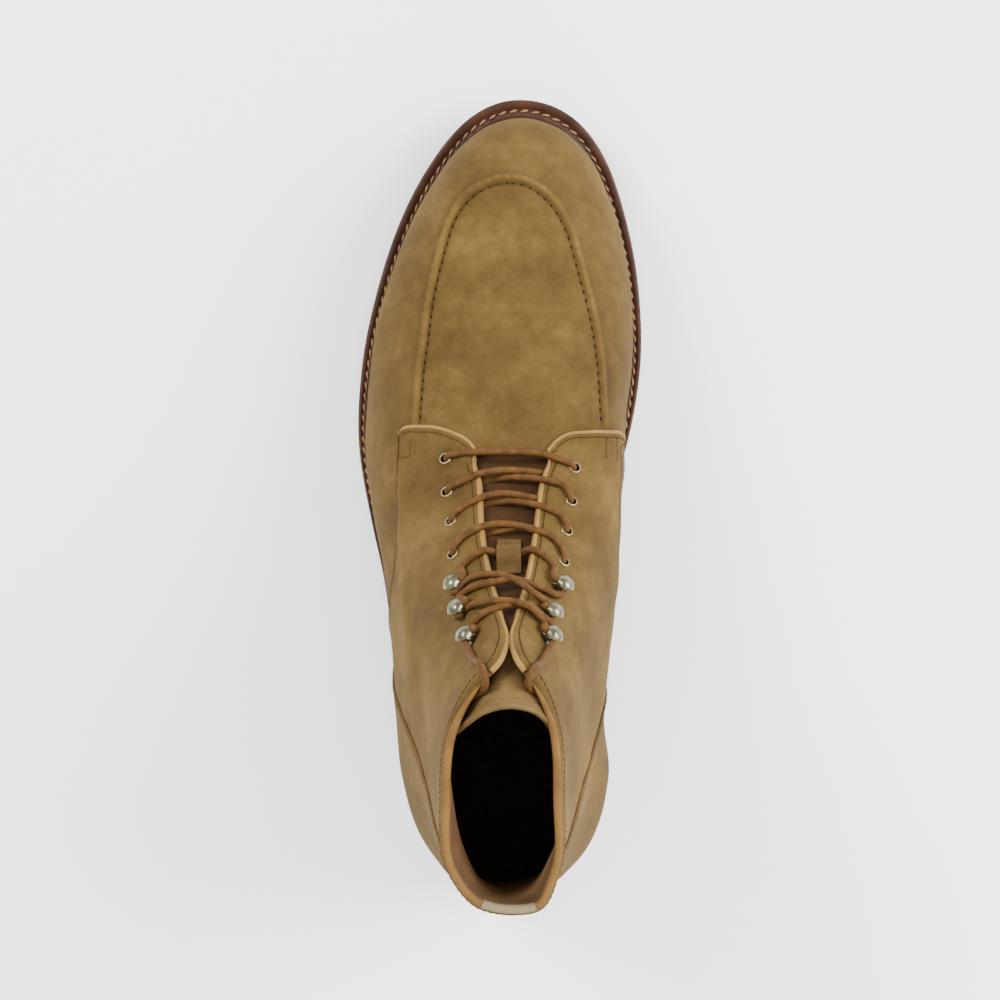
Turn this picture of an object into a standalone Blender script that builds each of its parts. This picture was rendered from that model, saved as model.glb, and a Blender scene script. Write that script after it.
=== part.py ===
"""Moc toe ankle boot for the left foot, standing empty on its studded rubber sole.

Lengths are in millimetres until place() turns them into metres. y runs from the back of the heel (0)
to the tip of the toe, x is positive on the inner (medial) side and z is the height over the floor.
"""
import math

import bmesh
import bpy
import numpy as np
from mathutils import Matrix, Vector

# ---- driving dimensions -------------------------------------------------------------------------
MM = 0.001
SOLE_LENGTH = 303.0
SOLE_MIDDLE_X = -1.5        # middle of the sole's widest box, moved to x = 0
OUTSOLE_THICK = 5.5
MIDSOLE_THICK = 3.5
WELT_THICK = 2.4
INSOLE_THICK = 3.0
GAP = 0.3                   # clear space between two pieces that touch
CURVED_GAP = 0.45           # between curved layers, whose facets stray a little
WALL = 2.4                  # vamp leather and its lining
QUARTER_STEP = 1.0          # the quarters lie this much over the vamp
COUNTER_STEP = 0.7          # and the heel counter this much over the quarters
SEAM_HEIGHT = 1.7           # raised apron seam
SEAM_HALF_WIDTH = 2.3
BINDING_WIDE = 3.2
BINDING_HIGH = 1.9
LACE_ACROSS = 2.7
EYELET_HOLE = 3.5
EYELET_ACROSS = 5.6
STUD_RECESS_RADIUS = 9.0
STUD_DEPTH = 1.7

# Sole outline: distance from the back of the heel, outer side, inner side.
SOLE_EDGE = (
    # y, lateral, medial
    (0, 1.0, 1.0),
    (6, -17.8, 19.4),
    (17, -27.2, 29.2),
    (28, -33.6, 35.0),
    (42, -37.4, 37.0),
    (72, -40.4, 34.8),
    (102, -42.9, 32.4),
    (122, -46.0, 31.8),
    (142, -50.6, 36.7),
    (172, -55.8, 47.4),
    (202, -54.7, 52.6),
    (232, -48.6, 51.9),
    (262, -38.0, 46.0),
    (282, -26.4, 38.4),
    (295, -14.8, 28.2),
    (SOLE_LENGTH, 6.0, 6.0),
)

# Height of the outsole's under side: on the heel block, up over the arch, flat at the ball, toe spring.
TREAD = (
    # y, z
    (0, 21.2),
    (46, 19.9),
    (92, 18.6),
    (120, 13.0),
    (150, 6.0),
    (178, 1.2),
    (198, 0.0),
    (238, 0.0),
    (264, 2.6),
    (285, 6.8),
    (SOLE_LENGTH, 12.5),
)

# Sections of the upper, from the toe round to the back of the heel. feather_y is the station on the
# sole's edge and welt how far inside that edge the upper meets it; out and up give the fullest point
# of the wall from there; shoulder is the apron seam in front and the ankle behind; top is the ridge
# of the vamp in front, then the edge of the facing, then the collar.
TOE = (
    # feather_y, welt, out, up, shoulder, top
    SOLE_LENGTH, 7.4, -0.8, 10.0, (1.5, 272.4, 51.5), (1.4, 262, 54.8),
)
HEEL = (
    # feather_y, welt, out, up, shoulder, top
    0, 4.0, 1.0, 22.0, (1.0, 9.5, 101), (2.6, 10.9, 152),
)
LATERAL = (
    # feather_y, welt, out, up, shoulder, top
    (298, 7.2, -0.5, 10.5, (-9.5, 268.3, 51.5), (1.4, 256, 56.2)),
    (287, 6.5, 0.0, 11.0, (-17.8, 257.0, 52.0), (1.4, 249, 57.8)),
    (268, 6.0, 0.5, 12.0, (-24.0, 242.5, 53.2), (1.6, 239, 60.0)),
    (245, 5.5, 0.9, 13.0, (-26.6, 226.0, 55.6), (1.8, 226, 63.0)),
    (220, 5.0, 1.0, 14.0, (-28.8, 210.0, 58.5), (2.1, 210, 66.8)),
    (197, 5.0, 1.0, 15.0, (-30.5, 193.5, 62.0), (2.5, 193, 71.0)),
    (179, 4.6, 0.8, 16.0, (-31.7, 177.5, 65.6), (2.8, 174, 76.2)),
    (177, 4.4, 0.8, 16.2, (-31.6, 175.8, 66.0), (2.9, 171, 77.0)),
    (168, 3.8, 0.6, 17.0, (-31.3, 169.5, 68.0), (2.9, 168.5, 77.8)),
    (162, 3.4, 0.6, 18.0, (-31.0, 164.0, 70.0), (-9.2, 167.3, 77.9)),
    (153, 3.1, 0.6, 19.0, (-30.4, 154.5, 74.5), (-8.2, 156, 85.6)),
    (139, 2.8, 0.8, 21.0, (-29.5, 140.5, 82.5), (-7.2, 138, 103.8)),
    (125, 2.6, 1.0, 23.0, (-28.8, 127.0, 91.0), (-4.8, 124.5, 120.2)),
    (113, 2.5, 1.0, 25.0, (-28.1, 115.0, 98.5), (-1.2, 111.8, 138.2)),
    (103, 2.5, 1.0, 26.0, (-27.7, 104.5, 103.0), (0.5, 103, 153.0)),
    (97, 2.5, 0.9, 26.0, (-27.6, 98.0, 104.5), (-2.2, 97, 159.2)),
    (87, 2.5, 0.8, 26.0, (-27.6, 87.5, 105.0), (-9.5, 89.5, 159.5)),
    (70, 2.5, 0.6, 25.0, (-28.0, 71.5, 104.0), (-18.0, 73, 155.0)),
    (48, 3.0, 0.6, 24.0, (-27.0, 50.5, 102.0), (-20.6, 50, 151.0)),
    (23, 3.6, 0.1, 23.0, (-20.0, 26.5, 101.0), (-17.8, 23.6, 150.6)),
    (5, 4.0, -0.8, 22.0, (-9.6, 13.2, 101.0), (-9.8, 13.8, 151.6)),
)
MEDIAL = (
    # feather_y, welt, out, up, shoulder, top
    (298, 7.2, -0.5, 10.5, (11.8, 268.8, 51.8), (1.4, 256, 56.2)),
    (287, 6.5, 0.0, 11.5, (19.8, 260.3, 52.6), (1.4, 249, 57.8)),
    (268, 5.5, 0.5, 13.0, (26.4, 243.5, 54.4), (1.6, 239, 60.0)),
    (245, 5.0, 0.8, 14.5, (30.4, 225.5, 57.4), (1.8, 226, 63.0)),
    (220, 5.0, 1.0, 16.5, (33.0, 209.0, 60.8), (2.1, 210, 66.8)),
    (197, 5.2, 1.2, 19.0, (35.2, 193.0, 64.6), (2.5, 193, 71.0)),
    (179, 5.0, 1.8, 22.0, (36.3, 177.0, 68.4), (2.8, 174, 76.2)),
    (177, 4.8, 2.0, 22.6, (36.3, 175.3, 68.8), (2.9, 171, 77.0)),
    (168, 4.4, 3.2, 25.0, (36.0, 169.0, 71.0), (2.9, 168.5, 77.8)),
    (162, 4.0, 4.8, 27.0, (35.6, 163.5, 73.0), (14.8, 167.3, 78.3)),
    (153, 3.5, 6.6, 29.0, (34.8, 154.0, 77.5), (12.6, 156, 86.2)),
    (139, 3.0, 10.0, 30.5, (33.6, 140.0, 85.5), (10.2, 138, 104.0)),
    (125, 3.0, 11.8, 30.5, (32.3, 126.5, 93.5), (7.9, 124.5, 120.2)),
    (113, 3.0, 11.0, 30.0, (30.9, 114.5, 100.0), (4.4, 111.8, 138.2)),
    (103, 3.0, 9.4, 29.0, (29.9, 104.0, 104.0), (2.7, 103, 153.0)),
    (97, 3.0, 8.3, 28.5, (29.4, 97.5, 105.0), (5.2, 97, 159.2)),
    (87, 3.0, 6.6, 27.5, (28.8, 87.0, 105.5), (11.0, 89.5, 159.5)),
    (70, 3.0, 3.6, 26.0, (28.2, 71.0, 104.5), (17.2, 73, 155.0)),
    (48, 3.0, 2.8, 24.0, (26.6, 50.0, 102.0), (18.8, 50, 151.0)),
    (23, 3.6, 0.7, 23.0, (19.8, 26.0, 101.0), (17.7, 23.4, 150.6)),
    (5, 4.0, -0.8, 22.0, (11.0, 13.0, 101.0), (12.4, 12.6, 151.6)),
)
QUARTER_EDGE_ROW = 7        # lateral and medial row where the quarters' front edge lies
THROAT_ROW = 9              # row whose top point is the front of the throat
FACING_TOP_ROW = 15

# Lower edge of the quarters over the vamp's wings, then the counter's edge over the quarters.
PANEL_EDGE = (
    # y, z
    (0, 118.0),
    (30, 116.0),
    (48, 108.0),
    (60, 94.0),
    (72, 74.0),
    (84, 52.0),
    (95, 33.0),
    (98, 42.0),
    (104, 53.0),
    (113, 62.5),
    (123, 67.5),
    (132, 69.5),
    (145, 68.0),
    (160, 64.3),
    (175, 59.7),
    (185, 57.0),
)
COUNTER_FRONT_Y = 95.0


# ---- curves -------------------------------------------------------------------------------------
def slope_between(before, here, after, start, middle, end):
    """Tangent at a middle row, weighted to the nearer neighbour."""
    first, second = middle - start, end - middle
    return ((here - before) / first * second + (after - here) / second * first) / (first + second)


def smooth_value(table, at):
    """Value of a two column table on a smooth curve that keeps its flats and never overshoots."""
    xs = np.array([row[0] for row in table], float)
    ys = np.array([row[1] for row in table], float)
    steps = np.diff(ys) / np.diff(xs)
    slopes = np.zeros(len(xs))
    for i in range(1, len(xs) - 1):
        if steps[i - 1] * steps[i] > 0:
            slopes[i] = 2 * steps[i - 1] * steps[i] / (steps[i - 1] + steps[i])
    slopes[0], slopes[-1] = steps[0], steps[-1]
    i = int(np.clip(np.searchsorted(xs, at) - 1, 0, len(xs) - 2))
    span = xs[i + 1] - xs[i]
    return hermite(ys[i], ys[i + 1], slopes[i], slopes[i + 1], span, (at - xs[i]) / span)


def hermite(start, end, start_slope, end_slope, span, f):
    """Cubic from start to end with the given slopes, at share f of the span."""
    a = 2 * f**3 - 3 * f**2 + 1
    b = f**3 - 2 * f**2 + f
    c = -2 * f**3 + 3 * f**2
    d = f**3 - f**2
    return a * start + b * span * start_slope + c * end + d * span * end_slope


def turn_of(y):
    """Angle of a half turn from heel (0) to toe (pi) that keeps both ends of the outline round."""
    return math.acos(max(-1.0, min(1.0, 1 - 2 * y / SOLE_LENGTH)))


def edge_samples(side, count=600):
    """Dense points of one side of the sole's edge, heel to toe."""
    turns = [turn_of(row[0]) for row in SOLE_EDGE]
    xs = [row[1 if side == "lateral" else 2] for row in SOLE_EDGE]
    slopes = [0.0] * len(xs)
    for i in range(1, len(xs) - 1):
        slopes[i] = slope_between(xs[i - 1], xs[i], xs[i + 1], turns[i - 1], turns[i], turns[i + 1])
    slopes[0] = 1.5 * (xs[1] - xs[0]) / (turns[1] - turns[0]) - 0.5 * slopes[1]
    slopes[-1] = 1.5 * (xs[-1] - xs[-2]) / (turns[-1] - turns[-2]) - 0.5 * slopes[-2]
    points = []
    for turn in np.linspace(0, math.pi, count):
        i = min(max(np.searchsorted(turns, turn) - 1, 0), len(turns) - 2)
        span = turns[i + 1] - turns[i]
        x = hermite(xs[i], xs[i + 1], slopes[i], slopes[i + 1], span, (turn - turns[i]) / span)
        points.append((x, SOLE_LENGTH / 2 * (1 - math.cos(turn))))
    return np.array(points)


SAMPLES = {side: edge_samples(side) for side in ("lateral", "medial")}


def edge_normals(side):
    """Directions out of the sole's edge, for each of its samples."""
    tangents = np.gradient(SAMPLES[side], axis=0)
    tangents /= np.linalg.norm(tangents, axis=1)[:, None]
    out = 1 if side == "medial" else -1
    normals = np.stack([tangents[:, 1], -tangents[:, 0]], axis=1) * out
    normals[0], normals[-1] = (0, -1), (0, 1)
    return normals


NORMALS = {side: edge_normals(side) for side in ("lateral", "medial")}


def inset_edge(side, inset):
    """The edge moved inwards, heel to toe."""
    return SAMPLES[side] - NORMALS[side] * inset


def sole_rows(inset, count, first=0.0, last=SOLE_LENGTH):
    """Rows (y, lateral x, medial x) of the sole's outline moved in by inset."""
    low, high = max(first, inset), min(last, SOLE_LENGTH - inset)
    lateral, medial = inset_edge("lateral", inset), inset_edge("medial", inset)
    start = math.pi / 2 if first > inset else 0.0
    rows = []
    for turn in np.linspace(start, math.pi, count):
        share = (1 - math.cos(turn)) / 2
        share = (share - (1 - math.cos(start)) / 2) / (1 - (1 - math.cos(start)) / 2)
        y = low + (high - low) * share
        lateral_x = np.interp(y, lateral[:, 1], lateral[:, 0])
        medial_x = np.interp(y, medial[:, 1], medial[:, 0])
        rows.append((y, lateral_x, medial_x))
    return rows


def tread(y):
    """Height of the outsole's under side."""
    return smooth_value(TREAD, min(max(y, 0.0), SOLE_LENGTH))


def feather_height(y):
    """Height of the welt's top, which the upper stands on."""
    return tread(y) + OUTSOLE_THICK + MIDSOLE_THICK + WELT_THICK


# ---- the upper's own function -------------------------------------------------------------------
LOOP = [TOE, *LATERAL, HEEL, *reversed(MEDIAL)]
SIDES = [None] + ["lateral"] * len(LATERAL) + [None] + ["medial"] * len(MEDIAL)
HEEL_AT = len(LATERAL) + 1
TOP_CORNERS = {0, THROAT_ROW, len(LOOP) - THROAT_ROW}
EDGE_SAMPLE_COUNT = len(SAMPLES["lateral"])


def feather_and_swell(index):
    """The point where this section meets the welt, and the fullest point of its wall."""
    station, welt, out, up = LOOP[index][:4]
    side = SIDES[index] or "medial"
    turn = turn_of(station) / math.pi * (EDGE_SAMPLE_COUNT - 1)
    edge = np.array([np.interp(turn, range(EDGE_SAMPLE_COUNT), SAMPLES[side][:, k]) for k in (0, 1)])
    normal = np.array([np.interp(turn, range(EDGE_SAMPLE_COUNT), NORMALS[side][:, k]) for k in (0, 1)])
    foot = edge - normal * welt
    full = edge - normal * (welt - out)
    base = feather_height(foot[1]) + CURVED_GAP
    return np.array([*foot, base]), np.array([*full, base + up])


FEATHER = np.array([feather_and_swell(i)[0] for i in range(len(LOOP))])
SWELL = np.array([feather_and_swell(i)[1] for i in range(len(LOOP))])
SHOULDER = np.array([row[4] for row in LOOP], float)
TOP = np.array([row[5] for row in LOOP], float)


def tangent(line, i, corners):
    """Direction of a closed line at one of its rows, or None at a corner."""
    if i in corners:
        return None
    count = len(line)
    before, here, after = line[i - 1], line[i], line[(i + 1) % count]
    first, second = np.linalg.norm(here - before), np.linalg.norm(after - here)
    return slope_between(before, here, after, 0, first, first + second)


def along(line, at, corners=()):
    """Point of a closed line at a row number with a fraction, smooth except at the corner rows."""
    count = len(line)
    i = int(math.floor(at)) % count
    f = at - math.floor(at)
    start, end = line[i], line[(i + 1) % count]
    span = np.linalg.norm(end - start)
    chord = (end - start) / span
    first, last = tangent(line, i, corners), tangent(line, (i + 1) % count, corners)
    return hermite(start, end, chord if first is None else first, chord if last is None else last, span, f)


def front_share(at):
    """1 where the section ends on the vamp's ridge, 0 where it ends on a free edge."""
    rows = at if at <= HEEL_AT else len(LOOP) - at
    return min(max(THROAT_ROW + 1 - rows, 0.0), 1.0)


def section(at, steps=20):
    """Dense curve from the welt up to the top line, with the distances of its key points."""
    keys = [along(line, at) for line in (FEATHER, SWELL, SHOULDER)] + [along(TOP, at, TOP_CORNERS)]
    spans = [np.linalg.norm(b - a) for a, b in zip(keys, keys[1:])]
    chords = [(b - a) / span for a, b, span in zip(keys, keys[1:], spans)]
    slopes = [None] * 4
    for i in (1, 2):
        slopes[i] = (chords[i - 1] * spans[i] + chords[i] * spans[i - 1]) / (spans[i - 1] + spans[i])
    slopes[0] = 1.5 * chords[0] - 0.5 * slopes[1]
    free = 1.5 * chords[2] - 0.5 * slopes[2]
    ridge = along(TOP, 0.3) - along(TOP, THROAT_ROW - 0.3)
    level = np.array([chords[2][0], chords[2][1], chords[2][1] * ridge[2] / ridge[1]])
    level /= np.linalg.norm(level)
    share = front_share(at)
    slopes[3] = level * share + free * (1 - share)
    points = [keys[0]]
    for i in range(3):
        for step in range(1, steps + 1):
            points.append(hermite(keys[i], keys[i + 1], slopes[i], slopes[i + 1], spans[i], step / steps))
    points = np.array(points)
    lengths = np.concatenate([[0], np.cumsum(np.linalg.norm(np.diff(points, axis=0), axis=1))])
    return points, lengths, (lengths[steps], lengths[2 * steps], lengths[-1])


def point_at(points, lengths, distance):
    """Point this far along a line."""
    return np.array([np.interp(distance, lengths, points[:, k]) for k in range(3)])


def behind_quarter_edge(at):
    """True where the quarters cover the vamp."""
    return QUARTER_EDGE_ROW + 0.5 < at < len(LOOP) - QUARTER_EDGE_ROW - 0.5


def panel_distance(points, lengths):
    """Distance up the section where it crosses the quarter's lower edge or the counter's edge."""
    heights = np.array([smooth_value(PANEL_EDGE, min(max(p[1], 0.0), 185.0)) for p in points])
    above = np.nonzero(points[:, 2] > heights)[0]
    return lengths[above[0]] if len(above) else lengths[-1]


LOWER_ROWS = 5              # rows from the welt to the panel edge, or to the apron seam
UPPER_ROWS = 7              # rows from there to the top line
STEP_HALF = 0.8
LEAST_WING = 2.6


def rim_trim(at):
    """The leather stops this far short of a free edge, where the binding sits."""
    return (BINDING_HIGH + CURVED_GAP) * (1 - front_share(at))


def row_distances(at, points, lengths, keys):
    """Distances of the grid rows up one section, with two of them on the seam or the panel's edge."""
    swell, shoulder, full = keys
    top = full - rim_trim(at)
    if behind_quarter_edge(at):
        crossing = max(panel_distance(points, lengths), LEAST_WING)
        lower = np.linspace(0, crossing - STEP_HALF, LOWER_ROWS)
        return [*lower, *np.linspace(crossing + STEP_HALF, top, UPPER_ROWS + 1)]
    half = SEAM_HALF_WIDTH
    lower = [0, swell / 2, *np.linspace(swell, shoulder - half, LOWER_ROWS - 2)]
    return [*lower, shoulder, *np.linspace(shoulder + half, top, UPPER_ROWS)]


def relief(at, point, distance, crossing, shoulder):
    """How far the leather stands proud of the last here."""
    if not behind_quarter_edge(at):
        return SEAM_HEIGHT if abs(distance - shoulder) < 0.1 else 0.0
    if point[1] < COUNTER_FRONT_Y and distance < crossing:
        return QUARTER_STEP + COUNTER_STEP
    if distance < crossing:
        return 0.0
    return QUARTER_STEP


# ---- Blender helpers ----------------------------------------------------------------------------
def place(point):
    """From the boot's millimetres to the part's metres, with the middle of the sole at x = y = 0."""
    x, y, z = point
    return Vector(((x - SOLE_MIDDLE_X) * MM, (y - SOLE_LENGTH / 2) * MM, z * MM))


def material(name, colour, roughness, metallic=0.0):
    """Plain finish of one colour."""
    made = bpy.data.materials.new(name)
    made.use_nodes = True
    shader = made.node_tree.nodes["Principled BSDF"]
    shader.inputs["Base Color"].default_value = (*colour, 1.0)
    shader.inputs["Roughness"].default_value = roughness
    shader.inputs["Metallic"].default_value = metallic
    return made


def add_object(name, data, finish):
    """Puts mesh or curve data into the scene with its finish."""
    made = bpy.data.objects.new(name, data)
    bpy.context.scene.collection.objects.link(made)
    if finish:
        data.materials.append(finish)
    return made


def mesh_object(name, shape, finish, smooth=35):
    """Closes a bmesh into a named object with its normals outwards."""
    bmesh.ops.remove_doubles(shape, verts=shape.verts, dist=0.00001)
    bmesh.ops.recalc_face_normals(shape, faces=shape.faces)
    data = bpy.data.meshes.new(name)
    shape.to_mesh(data)
    shape.free()
    made = add_object(name, data, finish)
    data.shade_smooth()
    data.set_sharp_from_angle(angle=math.radians(smooth))
    return made


def cut(target, cutter):
    """Takes the cutter's shape out of the target."""
    cutter.hide_render = True
    cutter.display_type = "WIRE"
    boolean = target.modifiers.new("cut", "BOOLEAN")
    boolean.operation = "DIFFERENCE"
    boolean.solver = "EXACT"
    boolean.object = cutter


HOLE_SIDES = 8              # sides of the round holes and eyelets


def circle(corners):
    """Cosine and sine of each corner of a regular polygon."""
    turns = [2 * math.pi * k / corners for k in range(corners)]
    return [(math.cos(turn), math.sin(turn)) for turn in turns]


def grid_faces(shape, grid, closed=False):
    """Quads between neighbouring rows of vertices; rows may share vertices at their ends."""
    rows = len(grid)
    for i in range(rows if closed else rows - 1):
        first, second = grid[i], grid[(i + 1) % rows]
        for a, b, c, d in zip(first, first[1:], second[1:], second):
            corners = []
            for corner in (a, b, c, d):
                if corner not in corners:
                    corners.append(corner)
            if len(corners) > 2 and not shape.faces.get(corners):
                shape.faces.new(corners)


def vertex_maker(shape):
    """Adds a vertex at a place once only."""
    made = {}

    def vertex(point):
        """The vertex at this place, made the first time it is asked for."""
        key = tuple(round(float(value), 4) for value in point)
        if key not in made:
            made[key] = shape.verts.new(place(point))
        return made[key]

    return vertex


def tube_ring(centre, side, up, half_wide, half_high, corners):
    """Points of an oval ring round a path."""
    return [centre + side * half_wide * math.cos(turn) + up * half_high * math.sin(turn)
            for turn in (2 * math.pi * k / corners for k in range(corners))]


def sweep(shape, rings, closed):
    """Skin over rings of points, with flat ends unless it closes on itself."""
    loops = [[shape.verts.new(place(point)) for point in ring] for ring in rings]
    count = len(loops)
    for i in range(count if closed else count - 1):
        first, second = loops[i], loops[(i + 1) % count]
        for k in range(len(first)):
            shape.faces.new((first[k - 1], first[k], second[k], second[k - 1]))
    if not closed:
        shape.faces.new(loops[0])
        shape.faces.new(loops[-1])


# ---- sole ---------------------------------------------------------------------------------------
SOLE_STATIONS = 30


def layer(name, finish, inset, low, high, foot_inset=None):
    """A plate under the whole foot between two heights that follow the tread."""
    shape = bmesh.new()
    vertex = vertex_maker(shape)
    upper_rows = sole_rows(inset, SOLE_STATIONS)
    lower_rows = sole_rows(inset if foot_inset is None else foot_inset, SOLE_STATIONS)
    grid = []
    for (y, left, right), (foot_y, foot_left, foot_right) in zip(upper_rows, lower_rows):
        grid.append([vertex((left, y, high(y))), vertex((foot_left, foot_y, low(foot_y))),
                     vertex((foot_right, foot_y, low(foot_y))), vertex((right, y, high(y))),
                     vertex((left, y, high(y)))])
    grid_faces(shape, grid)
    return mesh_object(name, shape, finish)


def stud_recess(shape, x, y, height, tilt, outer, inner, middle):
    """Ring cutter that leaves one round stud standing in a dished hollow."""
    profile = ((middle, -0.4), (inner, STUD_DEPTH), (inner + 1.4, STUD_DEPTH), (outer, -0.4))
    sides = 10
    rings = []
    turn_up = Matrix.Rotation(tilt, 4, "X")
    for k in range(sides):
        angle = 2 * math.pi * k / sides
        ring = []
        for radius, rise in profile:
            local = turn_up @ Vector((radius * math.cos(angle), radius * math.sin(angle), rise))
            ring.append((x + local.x, y + local.y, height + local.z))
        rings.append(ring)
    sweep(shape, rings, closed=True)


FOREFOOT_STUDS = (
    # x, y
    (6.6, 278.5),
    (-13.1, 258.5),
    (23.9, 257.0),
    (1.9, 234.1),
    (-23.0, 230.5),
    (27.5, 232.1),
    (0.3, 204.4),
    (28.9, 206.2),
    (-28.0, 200.9),
    (13.5, 177.6),
    (-17.9, 172.0),
)
HEEL_STUDS = ((14.2, 64.5), (-17.6, 63.6), (0.4, 37.8))
NAIL_HOLES = ((27.1, 75.4), (-2.6, 73.6), (-32.4, 71.2), (28.5, 50.3), (-29.9, 46.2))
NAIL_RADIUS = 1.2
NAIL_DEPTH = 2.5
FRAME_MIDDLE = (-7.5, 127.6)
FRAME_SIZE = (34.2, 12.5)
FRAME_GROOVE = 1.0
FRAME_TURN = math.radians(6)


def rubber_sole(finish):
    """Outsole with its round stud recesses and the bare frame in its waist."""
    sole = layer("outsole", finish, 0.0, tread, lambda y: tread(y) + OUTSOLE_THICK - GAP, foot_inset=0.8)
    studs = bmesh.new()
    for x, y in FOREFOOT_STUDS:
        tilt = math.atan2(tread(y + 2) - tread(y - 2), 4)
        stud_recess(studs, x, y, tread(y), tilt, STUD_RECESS_RADIUS, 4.9, 4.1)
    frame_groove(studs)
    cut(sole, mesh_object("outsole_cutter", studs, None))


def frame_groove(shape):
    """Rectangular ring groove in the waist of the sole."""
    x, y = FRAME_MIDDLE
    height = tread(y)
    slope = (tread(y + 2) - tread(y - 2)) / 4
    rings = []
    for sign_x, sign_y in ((-1, -1), (1, -1), (1, 1), (-1, 1)):
        ring = []
        for grow, rise in ((0, -0.6), (0, 0.6), (-FRAME_GROOVE, 0.6), (-FRAME_GROOVE, -0.6)):
            across = sign_x * (FRAME_SIZE[0] / 2 + grow)
            forward = sign_y * (FRAME_SIZE[1] / 2 + grow)
            turned_x = across * math.cos(FRAME_TURN) - forward * math.sin(FRAME_TURN)
            turned_y = across * math.sin(FRAME_TURN) + forward * math.cos(FRAME_TURN)
            ring.append((x + turned_x, y + turned_y, height + slope * turned_y + rise))
        rings.append(ring)
    sweep(shape, rings, closed=True)


HEEL_BREAST_MIDDLE = 86.0
HEEL_BREAST_RISE = 7.5
HEEL_STATIONS = 16


def heel_block(finish):
    """Rubber block with a hollow front, a little smaller at the floor than at the sole."""
    top = heel_loop(0.5)
    foot = heel_loop(2.0)
    shape = bmesh.new()
    upper = [shape.verts.new(place((x, y, tread(y) - CURVED_GAP))) for x, y in top]
    middle = [shape.verts.new(place((x, y, 1.0))) for x, y in foot]
    count = len(top)
    lower = [shape.verts.new(place((x, y, 0.0))) for x, y in heel_loop(2.6)]
    for high, low in ((upper, middle), (middle, lower)):
        for k in range(count):
            shape.faces.new((high[k - 1], high[k], low[k], low[k - 1]))
    shape.faces.new(lower)
    shape.faces.new(upper)
    heel = mesh_object("heel", shape, finish)
    cutters = bmesh.new()
    for x, y in HEEL_STUDS:
        stud_recess(cutters, x, y, 0.0, 0.0, STUD_RECESS_RADIUS + 0.4, 6.0, 5.2)
    for x, y in NAIL_HOLES:
        rings = [[(x + NAIL_RADIUS * c, y + NAIL_RADIUS * s, z) for c, s in circle(HOLE_SIDES)]
                 for z in (-0.5, NAIL_DEPTH)]
        sweep(cutters, rings, closed=False)
    cut(heel, mesh_object("heel_cutter", cutters, None))


def heel_loop(inset):
    """Closed outline of the heel block: up the outer side, along the breast, down the inner side."""
    lateral, medial = inset_edge("lateral", inset), inset_edge("medial", inset)
    left_end, right_end = HEEL_BREAST_MIDDLE + HEEL_BREAST_RISE, HEEL_BREAST_MIDDLE + HEEL_BREAST_RISE + 3
    left, right = [], []
    for k in range(HEEL_STATIONS):
        share = 1 - math.cos(math.pi / 2 * (k + 0.5) / (HEEL_STATIONS - 0.5))
        y = inset + (left_end - inset) * share
        left.append((np.interp(y, lateral[:, 1], lateral[:, 0]), y))
        y = inset + (right_end - inset) * share
        right.append((np.interp(y, medial[:, 1], medial[:, 0]), y))
    breast = []
    steps = 7
    for k in range(1, steps):
        f = k / steps
        x = left[-1][0] + (right[-1][0] - left[-1][0]) * f
        y = left[-1][1] + (right[-1][1] - left[-1][1]) * f - 4 * HEEL_BREAST_RISE * f * (1 - f)
        breast.append((x, y))
    return left + breast + right[::-1]


WELT_INSET = 0.2            # outer edge of the welt, inside the outsole's
WELT_INNER = 13.0           # inner edge of the welt
INSOLE_CLEAR = 0.9
INSOLE_LIFT = 0.7
INSOLE_STATIONS = 24


def welt_ring(finish):
    """Flat leather ring between midsole and upper, as wide as the seam that holds them."""
    shape = bmesh.new()
    outer_rows, inner_rows = sole_rows(WELT_INSET, SOLE_STATIONS), sole_rows(WELT_INNER, SOLE_STATIONS)
    rings = []
    for (y, left, right), (in_y, in_left, in_right) in zip(outer_rows, inner_rows):
        rings.append(((left, y), (in_left, in_y), (right, y), (in_right, in_y)))
    half = [(outer, inner) for outer, inner, _, _ in rings]
    half += [(outer, inner) for _, _, outer, inner in reversed(rings[1:-1])]
    loops = []
    for (x, y), (in_x, in_y) in half:
        lift = CURVED_GAP - WELT_THICK
        bottom, in_bottom = feather_height(y) + lift, feather_height(in_y) + lift
        loops.append([(x, y, bottom), (x, y, feather_height(y)), (in_x, in_y, feather_height(in_y)),
                      (in_x, in_y, in_bottom)])
    sweep(shape, loops, closed=True)
    mesh_object("welt", shape, finish)


def insole_plate(finish):
    """Thin board inside the upper, resting on the welt."""
    shape = bmesh.new()
    vertex = vertex_maker(shape)
    grid = []
    count = len(LOOP)
    inside = []
    for step in range(count * 2):
        at = step / 2
        foot = along(FEATHER, at)
        ahead, behind = along(FEATHER, (at + 0.02) % count), along(FEATHER, (at - 0.02) % count)
        run = ahead - behind
        outward = np.array([run[1], -run[0]])
        outward /= np.linalg.norm(outward)
        if np.dot(outward, foot[:2] - FEATHER[:, :2].mean(axis=0)) < 0:
            outward = -outward
        inside.append(foot[:2] - outward * (WALL + INSOLE_CLEAR))
    inside = np.array(inside)
    toe, heel = inside[0], inside[HEEL_AT * 2]
    left = inside[: HEEL_AT * 2 + 1][::-1]
    right = np.vstack([inside[HEEL_AT * 2:], inside[:1]])
    for turn in np.linspace(0, math.pi, INSOLE_STATIONS):
        y = heel[1] + (toe[1] - heel[1]) * (1 - math.cos(turn)) / 2
        left_x, right_x = np.interp(y, left[:, 1], left[:, 0]), np.interp(y, right[:, 1], right[:, 0])
        low = feather_height(y) + INSOLE_LIFT
        grid.append([vertex((left_x, y, low + INSOLE_THICK)), vertex((left_x, y, low)),
                     vertex((right_x, y, low)), vertex((right_x, y, low + INSOLE_THICK)),
                     vertex((left_x, y, low + INSOLE_THICK))])
    grid_faces(shape, grid)
    mesh_object("insole", shape, finish)


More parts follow.
